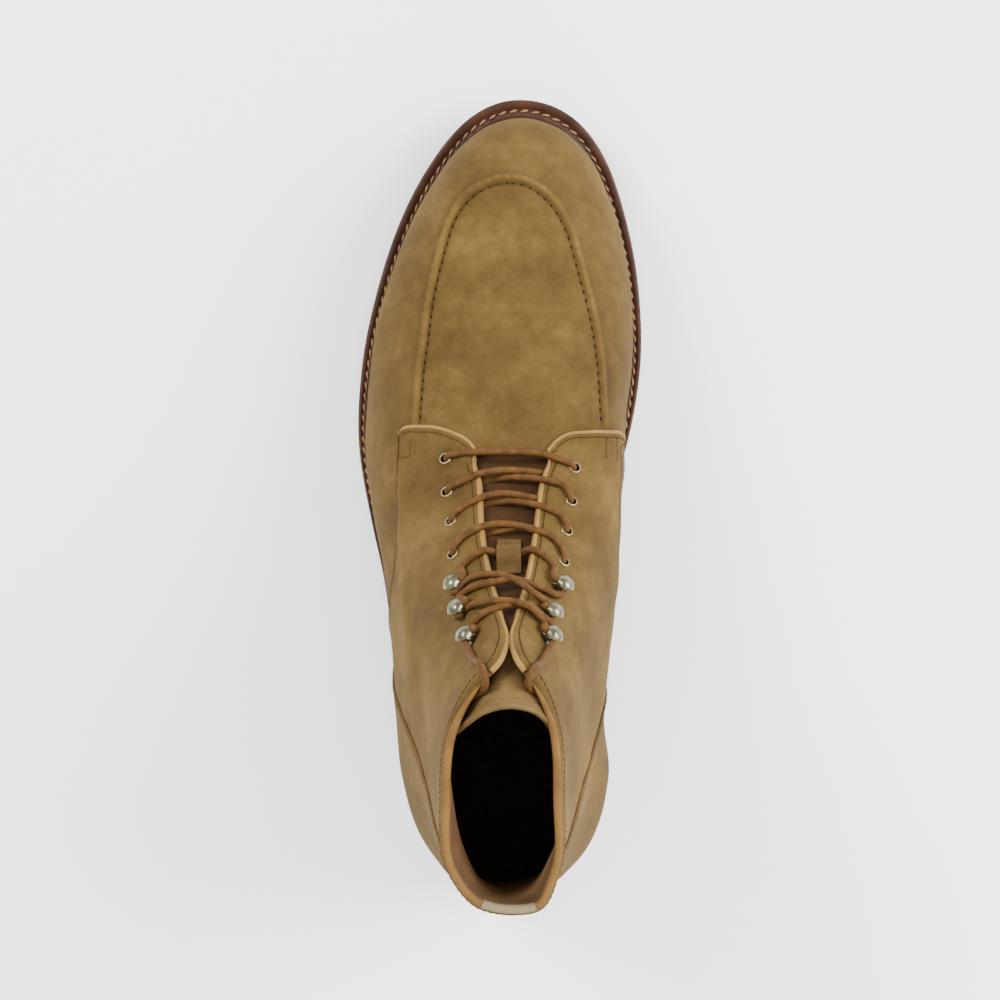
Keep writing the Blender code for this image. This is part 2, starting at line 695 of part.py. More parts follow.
# ---- upper --------------------------------------------------------------------------------------
CLOSE_ROWS = 7.0


def upper_columns():
    """Row numbers where the grid has a column: every row, and halfway where two rows stand well apart."""
    columns = []
    for row in range(len(LOOP)):
        apart = np.linalg.norm(FEATHER[row] - FEATHER[(row + 1) % len(LOOP)])
        columns += [row] if apart < CLOSE_ROWS else [row, row + 0.5]
    return columns


def upper_grid():
    """Columns of (base point, relief) from the welt to the top line, right round the boot."""
    grid = []
    for at in upper_columns():
        points, lengths, keys = section(at)
        crossing = panel_distance(points, lengths) if behind_quarter_edge(at) else 0.0
        column = []
        for distance in row_distances(at, points, lengths, keys):
            point = point_at(points, lengths, distance)
            column.append((point, relief(at, point, distance, crossing, keys[1])))
        grid.append(column)
    return grid


def upper_shell(finish):
    """One hollow wall, open at the throat, the collar and underneath."""
    shape = bmesh.new()
    vertex = vertex_maker(shape)
    grid, proud = [], {}
    for column in upper_grid():
        made = []
        for point, height in column:
            corner = vertex(point)
            proud[corner] = max(height, proud.get(corner, 0.0))
            made.append(corner)
        grid.append(made)
    grid_faces(shape, grid, closed=True)
    bmesh.ops.recalc_face_normals(shape, faces=shape.faces)
    shape.normal_update()
    outwards = shape.faces[0].normal.dot(shape.faces[0].calc_center_median() - place((0, 150, 50))) > 0
    sign = 1 if outwards else -1
    normals = {v: v.normal.copy() * sign for v in shape.verts}
    border = [e for e in shape.edges if len(e.link_faces) == 1]
    for foot in (column[0] for column in grid):
        normals[foot] = Vector((normals[foot].x, normals[foot].y, 0)).normalized()
    inner = {v: shape.verts.new(v.co - normals[v] * WALL * MM) for v in list(shape.verts)}
    for foot in (column[0] for column in grid):
        inner[foot].co.z = (feather_height(inner[foot].co.y / MM + SOLE_LENGTH / 2) + CURVED_GAP) * MM
    for face in list(shape.faces):
        shape.faces.new([inner[v] for v in reversed(face.verts)])
    for edge in border:
        a, b = edge.verts
        shape.faces.new((a, b, inner[b], inner[a]))
    for corner, height in proud.items():
        corner.co += normals[corner] * height * MM
    upper = mesh_object("upper", shape, finish, smooth=40)
    return upper


# ---- places on the facings ----------------------------------------------------------------------
def below_edge(at, drop):
    """Point of the base surface this far down from its top line."""
    points, lengths, _ = section(at)
    return point_at(points, lengths, lengths[-1] - drop)


def surface_frame(at, drop):
    """Point, outward direction, direction to the top line and direction along the loop."""
    here = below_edge(at, drop)
    toward_edge = unit(here - below_edge(at, drop + 1.5))
    run = below_edge(at + 0.1, drop) - below_edge(at - 0.1, drop)
    outward = unit(np.cross(run, toward_edge))
    return here, outward, toward_edge, unit(np.cross(toward_edge, outward))


class Spot:
    """A place on the outside of a quarter, so far down from the facing's edge."""

    def __init__(self, side, edge_y, drop):
        """Reads the leather's place and directions where the facing's edge is at edge_y."""
        row = self.row_where(edge_y)
        at = row if side == "lateral" else len(LOOP) - row
        here, self.normal, self.inward, run = surface_frame(at, drop)
        self.up = run if side == "lateral" else -run
        self.point = here + self.normal * QUARTER_STEP

    @staticmethod
    def row_where(edge_y):
        """Row number where the facing's edge has this y, found by halving."""
        low, high = THROAT_ROW + 1.0, FACING_TOP_ROW + 2.5
        for _ in range(30):
            middle = (low + high) / 2
            if along(TOP, middle, TOP_CORNERS)[1] > edge_y:
                low = middle
            else:
                high = middle
        return low

    def at_offset(self, inward=0.0, up=0.0, lift=0.0):
        """Point this far towards the throat, up the facing, and off the leather."""
        return self.point + self.inward * inward + self.up * up + self.normal * lift


def unit(vector):
    """The vector at length one."""
    return vector / np.linalg.norm(vector)


# Lacing holes and hooks up each facing: height of the facing's edge level with it, distance from it.
LATERAL_EYELETS = ((167.0, 12.2), (153.3, 13.6), (141.2, 14.1), (129.2, 16.9))
MEDIAL_EYELETS = ((163.7, 10.4), (149.7, 13.0), (137.8, 14.0), (127.0, 15.9))
LATERAL_HOOKS = ((117.4, 19.4), (109.4, 22.0), (101.4, 19.6))
MEDIAL_HOOKS = ((117.4, 17.6), (108.9, 17.2), (101.9, 19.4))
FACINGS = {"lateral": (LATERAL_EYELETS, LATERAL_HOOKS), "medial": (MEDIAL_EYELETS, MEDIAL_HOOKS)}
EYELETS = {side: [Spot(side, *row) for row in rows[0]] for side, rows in FACINGS.items()}
HOOKS = {side: [Spot(side, *row) for row in rows[1]] for side, rows in FACINGS.items()}


def basis_points(spot, shape_points):
    """Turns (inward, up, lift) triples at a spot into boot coordinates."""
    return [spot.at_offset(*point) for point in shape_points]


def hole_cutters():
    """Straight plugs through the leather at every eyelet."""
    shape = bmesh.new()
    radius = EYELET_HOLE / 2 + 0.75
    for spots in EYELETS.values():
        for spot in spots:
            rings = [basis_points(spot, [(radius * c, radius * s, lift) for c, s in circle(HOLE_SIDES)])
                     for lift in (-WALL - 4, 3)]
            sweep(shape, rings, closed=False)
    return mesh_object("eyelet_hole_cutter", shape, None)


def eyelet(name, spot, finish):
    """Rolled ring with a barrel through the quarter."""
    bore = EYELET_HOLE / 2
    profile = ((bore, 0.8), (EYELET_ACROSS / 2, 0.5), (bore + 0.4, 0.4),
               (bore + 0.4, -WALL - QUARTER_STEP), (bore, -WALL - QUARTER_STEP))
    shape = bmesh.new()
    rings = []
    for c, s in circle(HOLE_SIDES):
        rings.append(basis_points(spot, [(r * c, r * s, lift) for r, lift in profile]))
    sweep(shape, rings, closed=True)
    mesh_object(name, shape, finish)


HOOK_WIDE = 4.4
HOOK_THICK = 0.8
HOOK_MOUTH = 3.5


def hook(name, spot, finish):
    """Bent metal strip: a foot on the leather, a neck on the throat side and a hood over the lace."""
    foot = 0.4 + HOOK_THICK / 2
    hood = foot + HOOK_MOUTH + HOOK_THICK
    middle = (foot + hood) / 2
    path = ((-2.8, foot), (1.6, foot), (2.7, middle - 1.2), (2.9, middle), (2.7, middle + 1.2), (1.4, hood),
            (-1.6, hood + 0.2), (-3.2, hood - 0.6))
    shape = bmesh.new()
    rings = []
    for i, (inward, lift) in enumerate(path):
        ahead, behind = path[min(i + 1, len(path) - 1)], path[max(i - 1, 0)]
        run = unit(np.array([ahead[0] - behind[0], ahead[1] - behind[1]]))
        across = np.array([-run[1], run[0]]) * HOOK_THICK / 2
        half = HOOK_WIDE / 2
        rings.append(basis_points(spot, [
            (inward + across[0], -half, lift + across[1]), (inward + across[0], half, lift + across[1]),
            (inward - across[0], half, lift - across[1]), (inward - across[0], -half, lift - across[1])]))
    sweep(shape, rings, closed=False)
    mesh_object(name, shape, finish)


# ---- binding, tongue, keeper, heel tape ---------------------------------------------------------
BINDING_CORNERS = 6
COLLAR_FROM = THROAT_ROW + 1.5


def edge_binding(finish):
    """Rounded leather edge up both facings and round the collar."""
    shape = bmesh.new()
    rings = []
    for at in upper_columns():
        if not COLLAR_FROM <= at <= len(LOOP) - COLLAR_FROM:
            continue
        top, outward, up, _ = surface_frame(at, 0.0)
        centre = top - up * BINDING_HIGH / 2 - outward * (WALL - QUARTER_STEP) / 2
        rings.append(tube_ring(centre, outward, up, BINDING_WIDE / 2, BINDING_HIGH / 2, BINDING_CORNERS))
    sweep(shape, rings, closed=False)
    binding = mesh_object("edge_binding", shape, finish)
    join(binding, heel_tape())


TONGUE_THICK = 2.0
# Space between the facings' lining and the tongue, by section row.
TONGUE_CLEAR = (
    # row, clear
    (8.0, 2.4),
    (9.2, 2.4),
    (10.8, 0.6),
    (14.6, 0.6),
    (16.0, 4.4),
    (17.7, 4.8),
)
TONGUE_DROPS = (15.0, 8.0, 1.5)
TONGUE_ROWS = (8.0, 8.6, 9.2, 10.2, 10.8, 11.5, 12.2, 13.0, 13.8, 14.6, 15.3, 16.0, 16.6, 17.2, 17.7)
# Middle of the tongue where it leans back out of the facings, by section row.
TONGUE_CREST = (
    # row, y, z
    (15.3, 101.0, 150.5),
    (16.0, 94.5, 156.2),
    (16.6, 89.5, 160.0),
    (17.2, 85.0, 163.3),
    (17.7, 81.5, 165.8),
)


def inner_place(at, drop, depth):
    """A point this far inside the upper's base surface, and the way out."""
    here, outward, _, _ = surface_frame(at, drop)
    return here - outward * depth, outward


def tongue_ring(at):
    """Seven points across the tongue, lateral to medial, with their outward directions."""
    depth = WALL + smooth_value(TONGUE_CLEAR, at)
    left = [inner_place(at, drop, depth) for drop in TONGUE_DROPS]
    right = [inner_place(len(LOOP) - at, drop, depth) for drop in reversed(TONGUE_DROPS)]
    crest = [row for row in TONGUE_CREST if row[0] == at]
    outward = unit(left[-1][1] + right[0][1])
    if crest:
        middle = np.array([1.4, crest[0][1], crest[0][2]])
    else:
        middle = (along(TOP, at, TOP_CORNERS) + along(TOP, len(LOOP) - at, TOP_CORNERS)) / 2
        middle = middle - outward * (depth + 0.3)
    return left + [(middle, outward)] + right


def tongue_shape(finish):
    """Padded flap under the facings, its top leaning back into the collar."""
    shape = bmesh.new()
    outer, inner = [], []
    for at in TONGUE_ROWS:
        ring = tongue_ring(at)
        outer.append([shape.verts.new(place(point)) for point, _ in ring])
        inner.append([shape.verts.new(place(point - outward * TONGUE_THICK)) for point, outward in ring])
    grid_faces(shape, outer)
    grid_faces(shape, inner)
    for first, second in ((outer[0], inner[0]), (outer[-1], inner[-1])):
        grid_faces(shape, [first, second])
    for k in (0, -1):
        grid_faces(shape, [[row[k] for row in outer], [row[k] for row in inner]])
    mesh_object("tongue", shape, finish)


KEEPER_HALF_WIDE = 4.3
KEEPER_THICK = 1.1
KEEPER_RISE = 3.6
# Strap sewn on the tongue that the lace passes under: section row, height over the tongue.
KEEPER = (
    # row, rise
    (12.1, 0.3),
    (12.2, 0.3),
    (12.3, 1.0),
    (12.55, 1.0),
    (12.65, 0.3),
    (12.78, 0.3),
)


def tongue_middle(at):
    """The tongue's outer face on its middle line, and the way out."""
    below = max(row for row in TONGUE_ROWS if row <= at)
    above = min(row for row in TONGUE_ROWS if row > at)
    (low, low_out), (high, high_out) = tongue_ring(below)[3], tongue_ring(above)[3]
    share = (at - below) / (above - below)
    return low + (high - low) * share, unit(low_out + (high_out - low_out) * share)


def tongue_keeper(finish):
    """Strap across the tongue that holds the lace in the middle."""
    shape = bmesh.new()
    rings = []
    across = np.array([KEEPER_HALF_WIDE, 0, 0])
    for at, rise in KEEPER:
        middle, outward = tongue_middle(at)
        low = middle + outward * (rise if rise < 1 else KEEPER_RISE)
        high = low + outward * KEEPER_THICK
        rings.append([low - across, low + across, high + across, high - across])
    sweep(shape, rings, closed=False)
    mesh_object("tongue_keeper", shape, finish)


TAPE_WIDE = 4.6
TAPE_THICK = 1.4
TAPE_OVERLAP = 0.8
TAPE_REACH = 0.9


def heel_tape():
    """Short plain tape folded over the binding at the back of the collar."""
    shape = bmesh.new()
    rings = []
    for at in np.linspace(HEEL_AT - TAPE_REACH, HEEL_AT + TAPE_REACH, 7):
        top, outward, up, _ = surface_frame(at, 0.0)
        low = top - up * TAPE_OVERLAP - outward * (WALL - QUARTER_STEP) / 2
        high = low + up * TAPE_THICK
        half = outward * TAPE_WIDE / 2
        rings.append([low - half, low + half, high + half, high - half])
    sweep(shape, rings, closed=False)
    return mesh_object("heel_tape", shape, None)


# ---- lace ---------------------------------------------------------------------------------------
LACE_SIDES = 6
LACE_STEP = 4.6
OVER = 1.9                  # lace centre over the quarter's leather
ON_EYELET = 2.6
IN_HOOK = 2.95
IN_GAP = -1.4               # lace centre in the throat, against the edges' own level
CROSSING = 2.2              # the upper strand's centre stands this much over the lower one's

# Crossings between the eyelets: eyelet number, place along the facing's edge, place in the middle.
LACE_ROWS = (
    # number, edge_y, middle_y
    (2, 156.5, 159.2),
    (3, 146.5, 150.4),
    (4, 138.8, 141.6),
)


def edge_place(side, edge_y, drop, lift):
    """Point near a facing's edge: drop below it, or past it where negative; lift off the base surface."""
    row = Spot.row_where(edge_y)
    at = row if side == "lateral" else len(LOOP) - row
    here, outward, toward_edge, _ = surface_frame(at, max(drop, 0.0))
    return here + toward_edge * max(-drop, 0.0) + outward * lift


def throat_place(edge_y, share, lift):
    """Point between the facings, share of the way from the outer to the inner edge."""
    row = Spot.row_where(edge_y)
    ends = [surface_frame(at, 0.0) for at in (row, len(LOOP) - row)]
    outward = unit(ends[0][1] + ends[1][1])
    return ends[0][0] + (ends[1][0] - ends[0][0]) * share + outward * lift


def smooth_path(route, step):
    """Even points on a smooth curve through the route's points."""
    route = [np.array(point, float) for point in route]
    before = [2 * route[0] - route[1], *route[:-1]]
    after = [*route[1:], 2 * route[-1] - route[-2]]
    dense = []
    for i in range(len(route) - 1):
        span = np.linalg.norm(route[i + 1] - route[i])
        slopes = []
        for k in (i, i + 1):
            first, second = np.linalg.norm(route[k] - before[k]), np.linalg.norm(after[k] - route[k])
            slopes.append(slope_between(before[k], route[k], after[k], 0, first, first + second))
        for f in np.linspace(0, 1, 12, endpoint=False):
            dense.append(hermite(route[i], route[i + 1], slopes[0], slopes[1], span, f))
    dense.append(route[-1])
    dense = np.array(dense)
    lengths = np.concatenate([[0], np.cumsum(np.linalg.norm(np.diff(dense, axis=0), axis=1))])
    count = max(3, int(round(lengths[-1] / step)) + 1)
    return [point_at(dense, lengths, distance) for distance in np.linspace(0, lengths[-1], count)]


def strand(name, path, finish):
    """Round tube along the path, its ring turned as little as possible from point to point."""
    shape = bmesh.new()
    side = unit(np.cross(path[1] - path[0], np.array([0.1, 0.3, 1.0])))
    rings = []
    for i, point in enumerate(path):
        run = unit(path[min(i + 1, len(path) - 1)] - path[max(i - 1, 0)])
        side = unit(side - run * np.dot(side, run))
        across = np.cross(run, side)
        rings.append(tube_ring(point, side, across, LACE_ACROSS / 2, LACE_ACROSS / 2, LACE_SIDES))
    sweep(shape, rings, closed=False)
    return mesh_object(name, shape, finish, smooth=70)


def join(target, other):
    """Adds the other shape to the target as one body."""
    other.hide_render = True
    other.display_type = "WIRE"
    boolean = target.modifiers.new("join", "BOOLEAN")
    boolean.operation = "UNION"
    boolean.solver = "EXACT"
    boolean.object = other


def lace_bar(finish):
    """The straight first bar, from one front eyelet to the other."""
    lateral, medial = LATERAL_EYELETS[0], MEDIAL_EYELETS[0]
    route = [Spot("lateral", *lateral).at_offset(lift=ON_EYELET),
             Spot("lateral", lateral[0], 7.0).at_offset(lift=OVER),
             Spot("lateral", 167.2, 1.5).at_offset(lift=OVER),
             throat_place(167.2, 0.5, 3.4),
             Spot("medial", 166.5, 1.5).at_offset(lift=OVER),
             Spot("medial", 165.0, 7.0).at_offset(lift=OVER),
             Spot("medial", *medial).at_offset(lift=ON_EYELET)]
    strand("lace_bar", smooth_path(route, LACE_STEP), finish)


def crossing_route(side, number, edge_y, middle_y, over):
    """From an eyelet over its own facing, across the throat, to the far facing's edge."""
    far = "medial" if side == "lateral" else "lateral"
    eyelet_y, drop = FACINGS[side][0][number - 1]
    lift = IN_GAP + CROSSING if over else IN_GAP
    return [Spot(side, eyelet_y, drop).at_offset(lift=ON_EYELET),
            Spot(side, (eyelet_y + edge_y) / 2 + 1, 7.5).at_offset(lift=OVER),
            Spot(side, edge_y, 1.2).at_offset(lift=OVER),
            throat_place(middle_y, 0.5, lift),
            edge_place(far, edge_y, -1.1, IN_GAP)]


def lace_crossings(finish):
    """Each pair of strands that cross between two rows of eyelets, joined where they touch."""
    for number, edge_y, middle_y in LACE_ROWS:
        upper = strand(f"lace_cross_{number}", smooth_path(
            crossing_route("lateral", number, edge_y, middle_y, over=True), LACE_STEP), finish)
        lower = strand(f"lace_cross_{number}_lower", smooth_path(
            crossing_route("medial", number, edge_y - 0.6, middle_y - 1.2, over=False), LACE_STEP), None)
        join(upper, lower)


# The lace's turn round a hook's neck, from the throat and back: inward, up, lift.
HOOK_TURN = (
    (5.8, -4.8, 2.3),
    (2.9, -4.6, IN_HOOK),
    (0.2, -3.0, IN_HOOK),
    (0.2, 3.0, IN_HOOK),
    (2.9, 4.6, IN_HOOK),
    (5.8, 4.8, 2.3),
)
# Middle of the throat where two strands cross: place along the edge, upper strand's lift, lower's lift.
HOOK_CROSSINGS = ((116.6, 5.5, 3.7), (108.6, 5.5, 3.7))


def hook_turn(side, number):
    """The lace's points round one hook."""
    return basis_points(HOOKS[side][number], HOOK_TURN)


def hook_route(first_side):
    """Out of the keeper, round hook 1, across to hook 2, back to hook 3."""
    other = "medial" if first_side == "lateral" else "lateral"
    upper, lower = (1, 2) if first_side == "lateral" else (2, 1)
    crossings = [throat_place(row[0], 0.5, row[lift]) for row, lift in zip(HOOK_CROSSINGS, (upper, lower))]
    return [edge_place(first_side, 131.5, -1.4, OVER), Spot(first_side, 129.5, 3.0).at_offset(lift=OVER),
            *hook_turn(first_side, 0), crossings[0], *hook_turn(other, 1), crossings[1],
            *hook_turn(first_side, 2)]


HOOK_STEP = 3.5
END_STEP = 4.2
LACE_END_Y = 93.0           # where the free ends cross the top edge
OVER_RIM = 2.5              # lace centre over the binding's crest
INSIDE_WALL = 4.2           # lace centre inside the quarter's base surface


def lace_hooks(finish):
    """The two strands from the keeper to the last hooks, joined where they cross."""
    first = strand("lace_hooks", smooth_path(hook_route("lateral"), HOOK_STEP), finish)
    second = strand("lace_hooks_second", smooth_path(hook_route("medial"), HOOK_STEP), None)
    join(first, second)


def lace_end(side, finish):
    """Free end from hook 3, over the top of the facing and down behind it."""
    spot = HOOKS[side][2]
    route = [spot.at_offset(7.0, 6.2, 2.3),
             edge_place(side, 99.5, 6.0, QUARTER_STEP + OVER),
             edge_place(side, LACE_END_Y, 0.2, QUARTER_STEP + OVER),
             edge_place(side, LACE_END_Y, -OVER_RIM, -0.8),
             edge_place(side, LACE_END_Y, 0.2, -INSIDE_WALL),
             edge_place(side, LACE_END_Y, 6.0, -INSIDE_WALL),
             edge_place(side, LACE_END_Y, 14.0, -INSIDE_WALL)]
    points = smooth_path(route, END_STEP)
    curve = bpy.data.curves.new(f"lace_end_{side}", "CURVE")
    curve.dimensions = "3D"
    curve.bevel_depth = LACE_ACROSS / 2 * MM
    curve.bevel_resolution = 2
    curve.use_fill_caps = True
    spline = curve.splines.new("POLY")
    spline.points.add(len(points) - 1)
    for target, point in zip(spline.points, points):
        target.co = (*place(point), 1.0)
    add_object(f"lace_end_{side}", curve, finish)


# ---- scene --------------------------------------------------------------------------------------
def main():
    """Builds every piece of the boot."""
    for old in list(bpy.data.objects):
        bpy.data.objects.remove(old, do_unlink=True)
    rubber = material("dark_brown_rubber", (0.035, 0.022, 0.014), 0.6)
    edge_leather = material("edge_leather", (0.075, 0.028, 0.014), 0.45)
    lining = material("tan_lining", (0.36, 0.22, 0.10), 0.7)
    suede = material("sand_suede", (0.30, 0.19, 0.075), 0.95)
    binding = material("light_tan_binding", (0.50, 0.30, 0.13), 0.6)
    nickel = material("aged_nickel", (0.55, 0.52, 0.44), 0.35, metallic=1.0)
    cord = material("brown_cord", (0.075, 0.035, 0.018), 0.55)
    rubber_sole(rubber)
    heel_block(rubber)
    layer("midsole", edge_leather, 0.2, lambda y: tread(y) + OUTSOLE_THICK,
          lambda y: tread(y) + OUTSOLE_THICK + MIDSOLE_THICK)
    welt_ring(edge_leather)
    insole_plate(lining)
    upper = upper_shell(suede)
    cut(upper, hole_cutters())
    edge_binding(binding)
    tongue_shape(suede)
    tongue_keeper(binding)
    lace_bar(cord)
    lace_crossings(cord)
    lace_hooks(cord)
    for side in FACINGS:
        lace_end(side, cord)
    for side, spots in EYELETS.items():
        for number, spot in enumerate(spots, 1):
            eyelet(f"eyelet_{side}_{number}", spot, nickel)
    for side, spots in HOOKS.items():
        for number, spot in enumerate(spots, 1):
            hook(f"hook_{side}_{number}", spot, nickel)


main()
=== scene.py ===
# %% [markdown]
# A moc toe ankle boot for the left foot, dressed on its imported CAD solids.
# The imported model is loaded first. It is the fixed frame: its solids never move, and each piece made
# here either takes the place of one of them or gives it a finish.

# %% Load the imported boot
import math

import bmesh
import bpy
import numpy as np
from mathutils import Matrix, Vector, noise


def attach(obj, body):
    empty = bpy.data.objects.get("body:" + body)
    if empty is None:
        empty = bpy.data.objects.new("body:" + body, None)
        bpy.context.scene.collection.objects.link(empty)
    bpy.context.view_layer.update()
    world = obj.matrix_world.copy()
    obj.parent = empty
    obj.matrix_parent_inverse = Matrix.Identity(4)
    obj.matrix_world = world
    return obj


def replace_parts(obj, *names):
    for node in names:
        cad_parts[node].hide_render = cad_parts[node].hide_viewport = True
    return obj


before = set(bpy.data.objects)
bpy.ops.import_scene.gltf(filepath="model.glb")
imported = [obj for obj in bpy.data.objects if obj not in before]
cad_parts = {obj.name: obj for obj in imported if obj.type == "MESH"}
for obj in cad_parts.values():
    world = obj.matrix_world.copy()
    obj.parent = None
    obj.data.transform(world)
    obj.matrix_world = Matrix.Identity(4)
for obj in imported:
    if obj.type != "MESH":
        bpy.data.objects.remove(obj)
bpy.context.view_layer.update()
BODY = "root"
MM = 0.001

# %% [markdown]
# The camera hangs straight over the boot, as it does over shoes laid out in a studio. A long lens keeps
# the toe and the collar in true proportion.

# %% Camera straight above
CAMERA_HEIGHT = 1.15
CAMERA_BACK = 0.001         # how far behind the boot's middle it hangs
CAMERA_LENS = 106.5


def add_object(name, data):
    """A new object of the scene, at the origin."""
    made = bpy.data.objects.new(name, data)
    bpy.context.scene.collection.objects.link(made)
    return made


def mesh_object(name, shape):
    """A shape from bmesh, made an object and freed."""
    data = bpy.data.meshes.new(name)
    shape.to_mesh(data)
    shape.free()
    return add_object(name, data)


camera_data = bpy.data.cameras.new("camera_above")
camera_data.sensor_width = 36.0
camera_data.lens = CAMERA_LENS
camera = add_object("camera_above", camera_data)
camera.location = (0.0, -CAMERA_BACK, CAMERA_HEIGHT)
bpy.context.scene.camera = camera
print("camera height", CAMERA_HEIGHT, "lens", CAMERA_LENS)

# %% [markdown]
# Colours are picked in the numbers a painter reads off a screen, 0 to 255, and turned into the linear
# light that a shader mixes.

# %% Colour helper
def tint(red, green, blue):
    """A screen colour, 0 to 255 each, as linear red, green, blue and alpha."""
    linear = [(c / 255 / 12.92) if c <= 10 else ((c / 255 + 0.055) / 1.055) ** 2.4
              for c in (red, green, blue)]
    return (*linear, 1.0)


# %% [markdown]
# A plain pale floor and soft studio light: one broad lamp high on the left throws the short soft shadow,
# a second fills it, and the even grey of the world keeps the shadows open.

# %% Floor and lights
FLOOR_HALF = 3.0
FLOOR_DROP = 0.0002         # keeps the heel's underside off the paper
LAMP_AIM = (0, 0, 0.05)


def plain_material(name, colour, roughness):
    """One colour and one roughness, for the paper that the boot stands on."""
    made = bpy.data.materials.new(name)
    made.use_nodes = True
    shader = made.node_tree.nodes["Principled BSDF"]
    shader.inputs["Base Color"].default_value = colour
    shader.inputs["Roughness"].default_value = roughness
    return made


def studio_floor():
    """A wide sheet of pale paper, not hung on the boot's body."""
    shape = bmesh.new()
    bmesh.ops.create_grid(shape, x_segments=4, y_segments=4, size=FLOOR_HALF)
    bmesh.ops.translate(shape, verts=shape.verts, vec=(0, 0, -FLOOR_DROP))
    floor = mesh_object("floor", shape)
    floor.data.materials.append(plain_material("floor_paper", (0.97, 0.97, 0.97, 1.0), 0.9))


def lamp(name, place_at, size, power):
    """A round soft lamp, turned towards the boot."""
    data = bpy.data.lights.new(name, "AREA")
    data.shape = "DISK"
    data.size = size
    data.energy = power
    made = add_object(name, data)
    made.location = place_at
    made.rotation_euler = (Vector(LAMP_AIM) - Vector(place_at)).to_track_quat("-Z", "Y").to_euler()


studio_floor()
lamp("key_left", (-1.2, 0.9, 1.5), 0.7, 60)
lamp("fill_right", (1.4, 0.3, 1.1), 1.3, 76)
lamp("fill_back", (0.2, -1.5, 1.1), 1.0, 20)
world = bpy.data.worlds.new("studio")
bpy.context.scene.world = world
world.use_nodes = True
world.node_tree.nodes["Background"].inputs["Color"].default_value = (1, 1, 1, 1)
world.node_tree.nodes["Background"].inputs["Strength"].default_value = 1.6
print("lights:", len(bpy.data.lights))

# %% [markdown]
# The boot is drawn on its own last, the foot-shaped form a shoemaker works on. First come its plain
# sizes: the layers of the sole, the upper's wall, and how far each panel stands over the one below.

# %% Sizes of the last, in millimetres
SOLE_LENGTH = 303.0
SOLE_MIDDLE_X = -1.5
OUTSOLE_THICK = 5.5
MIDSOLE_THICK = 3.5
WELT_THICK = 2.4
CURVED_GAP = 0.45           # left between the upper and the welt it stands on
WALL = 2.4
QUARTER_STEP = 1.0
COUNTER_STEP = 0.7
BINDING_HIGH = 1.9

BOTH_SIDES = ("lateral", "medial")      # the outer and the inner side of the foot

# %% [markdown]
# Two curves give the sole's edge, one for the outer and one for the inner side, and a third the height
# of its underside: raised on the heel block, up over the arch, flat at the ball and sprung at the toe.

# %% Outline and tread of the sole
SOLE_EDGE = (
    # y, lateral, medial
    (0, 1.0, 1.0), (6, -17.8, 19.4), (17, -27.2, 29.2), (28, -33.6, 35.0), (42, -37.4, 37.0),
    (72, -40.4, 34.8), (102, -42.9, 32.4), (122, -46.0, 31.8), (142, -50.6, 36.7),
    (172, -55.8, 47.4), (202, -54.7, 52.6), (232, -48.6, 51.9), (262, -38.0, 46.0),
    (282, -26.4, 38.4), (295, -14.8, 28.2), (SOLE_LENGTH, 6.0, 6.0),
)

TREAD = (
    # y, z
    (0, 21.2), (46, 19.9), (92, 18.6), (120, 13.0), (150, 6.0), (178, 1.2), (198, 0.0), (238, 0.0),
    (264, 2.6), (285, 6.8), (SOLE_LENGTH, 12.5),
)

# %% [markdown]
# A closed loop of upright sections gives the upper, from the toe round to the back of the heel. The first
# number is the station on the sole's edge, the second how far inside that edge the upper meets the welt.
# Out and up give the fullest point of the wall from there. The shoulder is the apron seam in front and
# the ankle behind. The top is the vamp's ridge in front, then the edge of the facing, then the collar.

